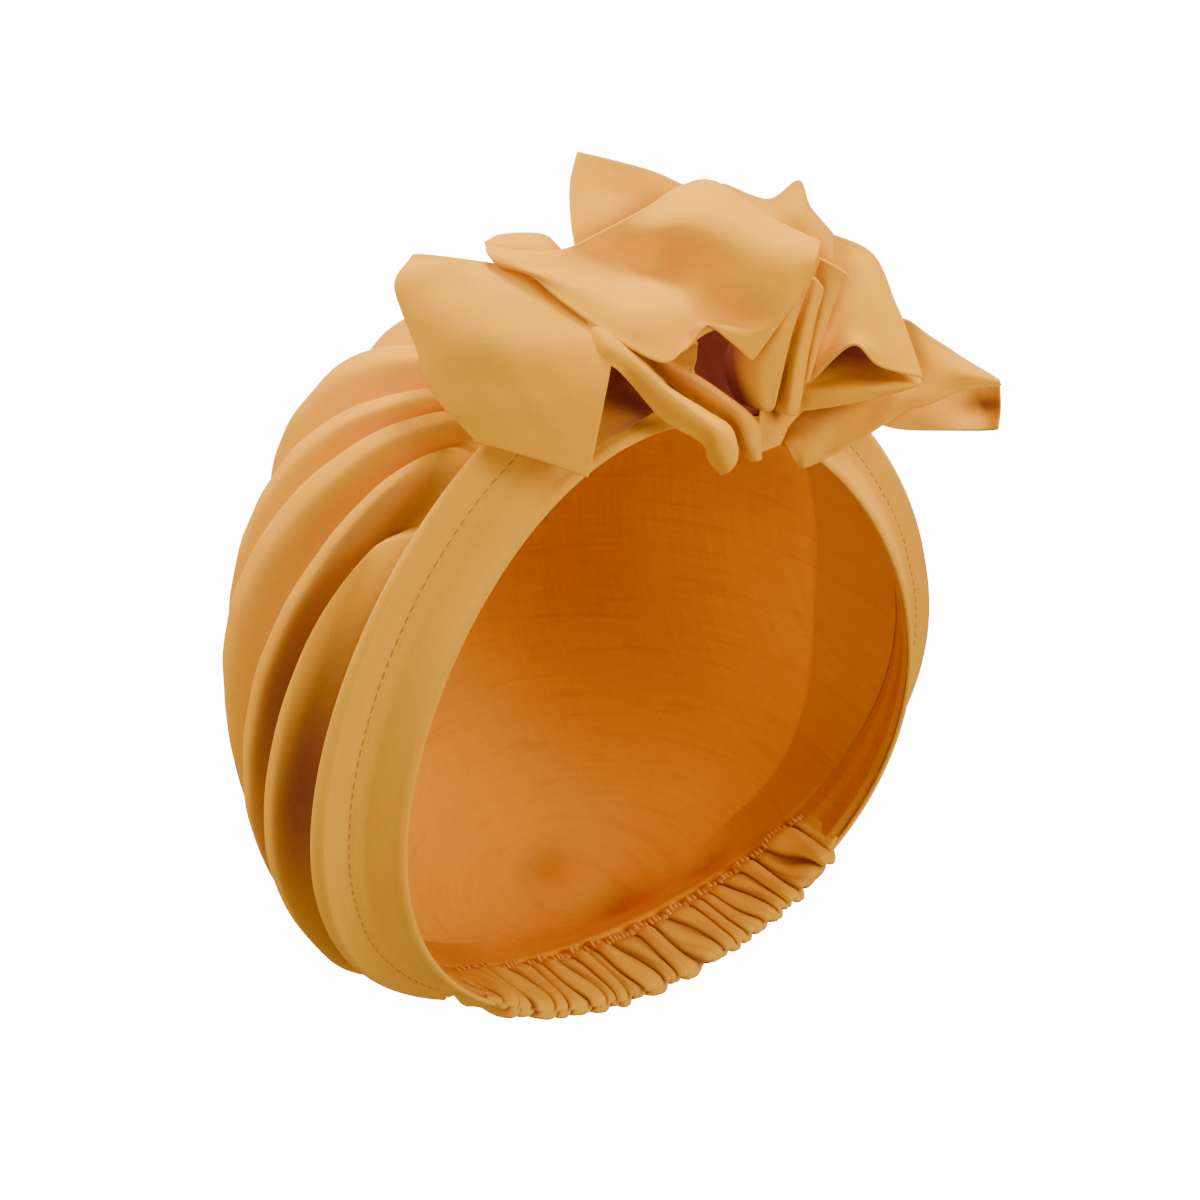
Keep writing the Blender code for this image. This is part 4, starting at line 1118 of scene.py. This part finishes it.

# %% [markdown]
# Light hardly gets into the mouths of the loops and the gaps between the pleats, so shade is painted there,
# as on the crown. The spots of painted shade stay on the cloth where the layers meet, from wherever one
# looks.

# %% The hollows of the bow
# piece, share along, share across, reach, strength of the painted shade
PAINTED_SHADE_SPOTS = (
    ("bow_left_loop", 0.30, 1.00, 0.24, 1.0),
    ("bow_left_loop", 0.60, 1.00, 0.24, 1.0),
    ("bow_left_loop", 0.90, 1.00, 0.16, 0.6),
    ("bow_left_loop", 0.12, 0.02, 0.07, 0.4),
    ("bow_inner_fold", 0.45, 0.45, 0.90, 1.0),
    ("bow_inner_fold", 0.75, 0.45, 0.60, 0.6),
    ("bow_right_under", 0.10, 0.55, 0.30, 0.9),
    ("bow_right_under", 0.00, 0.15, 0.30, 0.9),
    ("bow_far_right_back", 0.85, 0.45, 0.24, 0.9),
    ("bow_far_right_loop", 0.80, 0.15, 0.30, 0.6),
    ("bow_middle_fold", 0.20, 0.50, 0.30, 0.6),
    ("bow_pleat_1", 0.62, 0.00, 0.34, 1.0),
    ("bow_pleat_1", 0.90, 0.10, 0.30, 0.6),
    ("bow_centre_swath", 0.98, 0.74, 0.05, 0.5),
    ("bow_back_loop", 0.60, 1.00, 0.30, 0.6),
    ("bow_petal", 0.00, 0.50, 0.40, 0.6),
)


def painted_shade_spots(name, rows, columns):
    """Painted shade on each point of a cloth: round spots that fade by the square of the way from them."""
    i = np.linspace(0.0, 1.0, rows)[:, None]
    j = np.linspace(0.0, 1.0, columns)[None]
    total = np.zeros((rows, columns))
    for piece, along, across, reach, strength in PAINTED_SHADE_SPOTS:
        if piece == name:
            total += strength * np.exp(-(((i - along) / reach) ** 2 + ((j - across) / reach) ** 2))
    return np.clip(total, 0.0, 1.0)


# %% Make the bow's cloths
BOW_CLOTH = 0.0009
CRINKLE = 0.00022
EDGE_STILLNESS = 0.12


def crinkled(net, seed):
    """The net with small dents along its normals: crossing waves that fade out at the cloth's edges."""
    uv = lengths(net) / 0.01
    u, v = uv[..., 0], uv[..., 1]
    waves = np.sin(1.7 * u + 0.8 * v + seed) * np.sin(0.9 * v - 1.1 * u + 2.0 * seed)
    waves += 0.6 * np.sin(3.1 * u - 2.3 * v + 1.3 * seed) * np.sin(1.9 * u + 2.9 * v)
    rows, columns = net.shape[:2]
    i = np.linspace(0.0, 1.0, rows)[:, None]
    j = np.linspace(0.0, 1.0, columns)[None]
    still = smooth(np.minimum(i, 1.0 - i) / EDGE_STILLNESS) * smooth(np.minimum(j, 1.0 - j) / EDGE_STILLNESS)
    return net + grid_normals(net) * (CRINKLE * waves * still)[..., None]


def bow_cloth(name, sections, rows, columns, seed):
    """One cloth of the bow: a smooth sheet through its sections, given its wall."""
    net = spline(bow_points(sections), rows)
    net = spline(net.swapaxes(0, 1), columns).swapaxes(0, 1)
    net = crinkled(net, seed)
    flat_size(net)
    print(name, "square metres of cloth:", round(cloth_area(net), 5))
    return cloth_wall(name + "_cloth", net, BOW_CLOTH, MUSTARD, painted_shade=painted_shade_spots(name, rows, columns))


BOW = {}
for number, (name, sections, rows, columns) in enumerate(BOW_CLOTHS):
    BOW[name] = bow_cloth(name, sections, rows, columns, 1.0 + 0.7 * number)

# %% [markdown]
# Under the petals the cloths are sewn together in a small gather. Only a glimpse of it shows, so a ball
# with pinched ridges is enough: its radius goes in and out as one goes round it.

# %% The gather under the bow
ROOT_PLACE = (2.0, -0.5, -0.5)
ROOT_RADII = (1.30, 1.24, 1.24)
RIDGE_DEPTH = 0.10


def bow_gather():
    """A pinched ball: ridges run from pole to pole, six round it."""
    polar = np.linspace(0.0, pi, 40)[1:-1]
    angle = np.linspace(0.0, 2.0 * pi, 73)[:-1]
    polar, angle = np.meshgrid(polar, angle, indexing="ij")
    radius = 1.0 - RIDGE_DEPTH * (1.0 - np.abs(np.sin(3.0 * angle))) * np.sin(polar)
    ball = np.stack([np.sin(polar) * np.cos(angle), np.sin(polar) * np.sin(angle), np.cos(polar)], -1)
    ball = ball * radius[..., None] * np.array(ROOT_RADII)
    _, across, up, out = bow_frame()
    middle = bow_points(((ROOT_PLACE,),))[0, 0]
    turned = ball * BOW_SPAN / 60.0
    points = middle + turned[..., :1] * across + turned[..., 1:2] * up + turned[..., 2:] * out
    rows, columns = polar.shape
    poles = middle + np.array([1.0, -1.0])[:, None] * out * BOW_SPAN / 60.0 * ROOT_RADII[2]
    index = np.arange(rows * columns).reshape(rows, columns)
    closed = np.concatenate([index, index[:, :1]], 1)
    caps = [(rows * columns, closed[0, j], closed[0, j + 1]) for j in range(columns)]
    caps += [(rows * columns + 1, closed[-1, j + 1], closed[-1, j]) for j in range(columns)]
    points = np.concatenate([points.reshape(-1, 3), poles])
    faces = grid_faces(closed).tolist() + caps
    flat_places = (points - middle) @ np.stack([across, up], 1)
    return mesh_piece("bow_gather", points, faces, flat_places, MUSTARD)


GATHER = bow_gather()

# %% [markdown]
# Each piece takes the place of its solid and rides on the one body. Pieces narrower than a centimetre are
# folded out of the swath's cloth, so they go with it.

# %% Bind the pieces to the frame
# piece, node, slot
BOUND = [
    (CROWN, "crown", "outer_cloth"),
    (LINING, "lining", "lining_cloth"),
    (HEM, "brow_band", "hem_cloth"),
    (CASING, "nape_gather", "hem_cloth"),
    (GATHER, "bow_root", "outer_cloth"),
] + [(piece, name, "outer_cloth") for name, piece in BOW.items()]
for piece, node_name, slot in BOUND:
    if node_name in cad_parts:
        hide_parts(node_name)
    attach(piece, "root")
for piece in (HEM_STITCHES, CASING_STITCHES):
    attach(piece, "root")

# %% [markdown]
# The studio is plain: a pale floor that rises at its edge like a wide dish, so that no horizon shows, a key
# light from above and in front, a broad one from above on the other side, and two weaker ones low in front.

# %% Floor and lights
FLOOR_HEIGHT = -0.42
FLOOR_FLAT, FLOOR_END, FLOOR_CURVE = 1.4, 6.0, 0.22
FLOOR_GLOW = 14.0
WORLD_LIGHT = 0.12
# name, place, aim, side in metres, watts
LIGHTS = (
    ("key_light", (0.48, -0.62, 1.38), (0.0, -0.02, 0.05), 0.40, 44.0),
    ("top_light", (-0.70, 0.05, 1.20), (0.0, 0.0, 0.05), 0.8, 26.0),
    ("low_light", (0.62, -1.20, -0.10), (0.0, 0.0, 0.0), 0.6, 17.0),
    ("front_light", (-1.25, -0.85, -0.20), (0.0, 0.0, 0.0), 0.6, 9.0),
)


def studio_floor():
    """A dish: flat in its middle, its edge rising by the square of the way out."""
    out = np.concatenate([np.linspace(0.0, FLOOR_FLAT, 8), np.linspace(FLOOR_FLAT + 0.2, FLOOR_END, 40)])
    angle = np.linspace(0.0, 2.0 * pi, 97)
    out, angle = np.meshgrid(out, angle, indexing="ij")
    rise = FLOOR_HEIGHT + FLOOR_CURVE * np.maximum(out - FLOOR_FLAT, 0.0) ** 2
    net = np.stack([out * np.cos(angle), out * np.sin(angle), rise], -1)
    paint = plain_material("pale_floor", (0.30, 0.30, 0.30), 0.9)
    shader = paint.node_tree.nodes["Principled BSDF"]
    seen = node(paint.node_tree, "ShaderNodeLightPath", (-300, 0))
    glow = node(paint.node_tree, "ShaderNodeMath", (-100, 0), operation="MULTIPLY")
    glow.inputs[1].default_value = FLOOR_GLOW
    paint.node_tree.links.new(seen.outputs["Is Camera Ray"], glow.inputs[0])
    paint.node_tree.links.new(glow.outputs[0], shader.inputs["Emission Strength"])
    shader.inputs["Emission Color"].default_value = (1.0, 1.0, 1.0, 1.0)
    faces = grid_faces(np.arange(out.size).reshape(out.shape))
    floor = mesh_piece("floor", net.reshape(-1, 3), faces, np.zeros((out.size, 2)), paint)
    return floor


def soft_light(name, place, aim, size, power):
    """A square area light that looks at a point."""
    lamp = bpy.data.lights.new(name, "AREA")
    lamp.energy, lamp.size = power, size
    light = bpy.data.objects.new(name, lamp)
    bpy.context.scene.collection.objects.link(light)
    back = np.array(place) - np.array(aim)
    back /= np.linalg.norm(back)
    side = np.cross((0.0, 1.0, 0.05), back)
    side /= np.linalg.norm(side)
    turn = np.stack([side, np.cross(back, side), back], 1)
    light.matrix_world = Matrix.Translation(place) @ Matrix(turn.tolist()).to_4x4()
    return light


studio_floor()
for light_name, place, aim, side_length, watts in LIGHTS:
    soft_light(light_name, place, aim, side_length, watts)
world = bpy.data.worlds.new("studio")
world.use_nodes = True
world.node_tree.nodes["Background"].inputs["Color"].default_value = (1.0, 1.0, 1.0, 1.0)
world.node_tree.nodes["Background"].inputs["Strength"].default_value = WORLD_LIGHT
bpy.context.scene.world = world

# %% [markdown]
# The camera looks at the hat from the wearer's right, level with its middle and leaning over, as the
# photograph was taken or turned. The lens is long, so the hat keeps its true proportions. The shift places
# the hat in the picture, in pixels of its side.

# %% Camera
CAMERA_AZIMUTH, CAMERA_ROLL, CAMERA_DISTANCE = -26.2, -22.9, 0.7744
LENS_LENGTH, SENSOR_WIDTH = 85.0, 36.0
PICTURE_SIDE = 1200.0
SHIFT_RIGHT, SHIFT_UP = -65.0, 125.5


def camera():
    """A camera whose back, right and up directions come from its azimuth and roll."""
    azimuth, roll = radians(CAMERA_AZIMUTH), radians(CAMERA_ROLL)
    back = np.array([sin(azimuth), -cos(azimuth), 0.0])
    right = np.array([cos(azimuth), sin(azimuth), 0.0])
    up = np.cross(back, right)
    turn = np.stack([right * cos(roll) + up * sin(roll), up * cos(roll) - right * sin(roll), back], 1)
    lens = bpy.data.cameras.new("camera")
    lens.lens, lens.sensor_width = LENS_LENGTH, SENSOR_WIDTH
    lens.shift_x, lens.shift_y = SHIFT_RIGHT / PICTURE_SIDE, SHIFT_UP / PICTURE_SIDE
    lens.clip_start, lens.clip_end = 0.05, 30.0
    eye = bpy.data.objects.new("camera", lens)
    eye.matrix_world = Matrix.Translation(back * CAMERA_DISTANCE) @ Matrix(turn.tolist()).to_4x4()
    bpy.context.scene.collection.objects.link(eye)
    bpy.context.scene.camera = eye


camera()
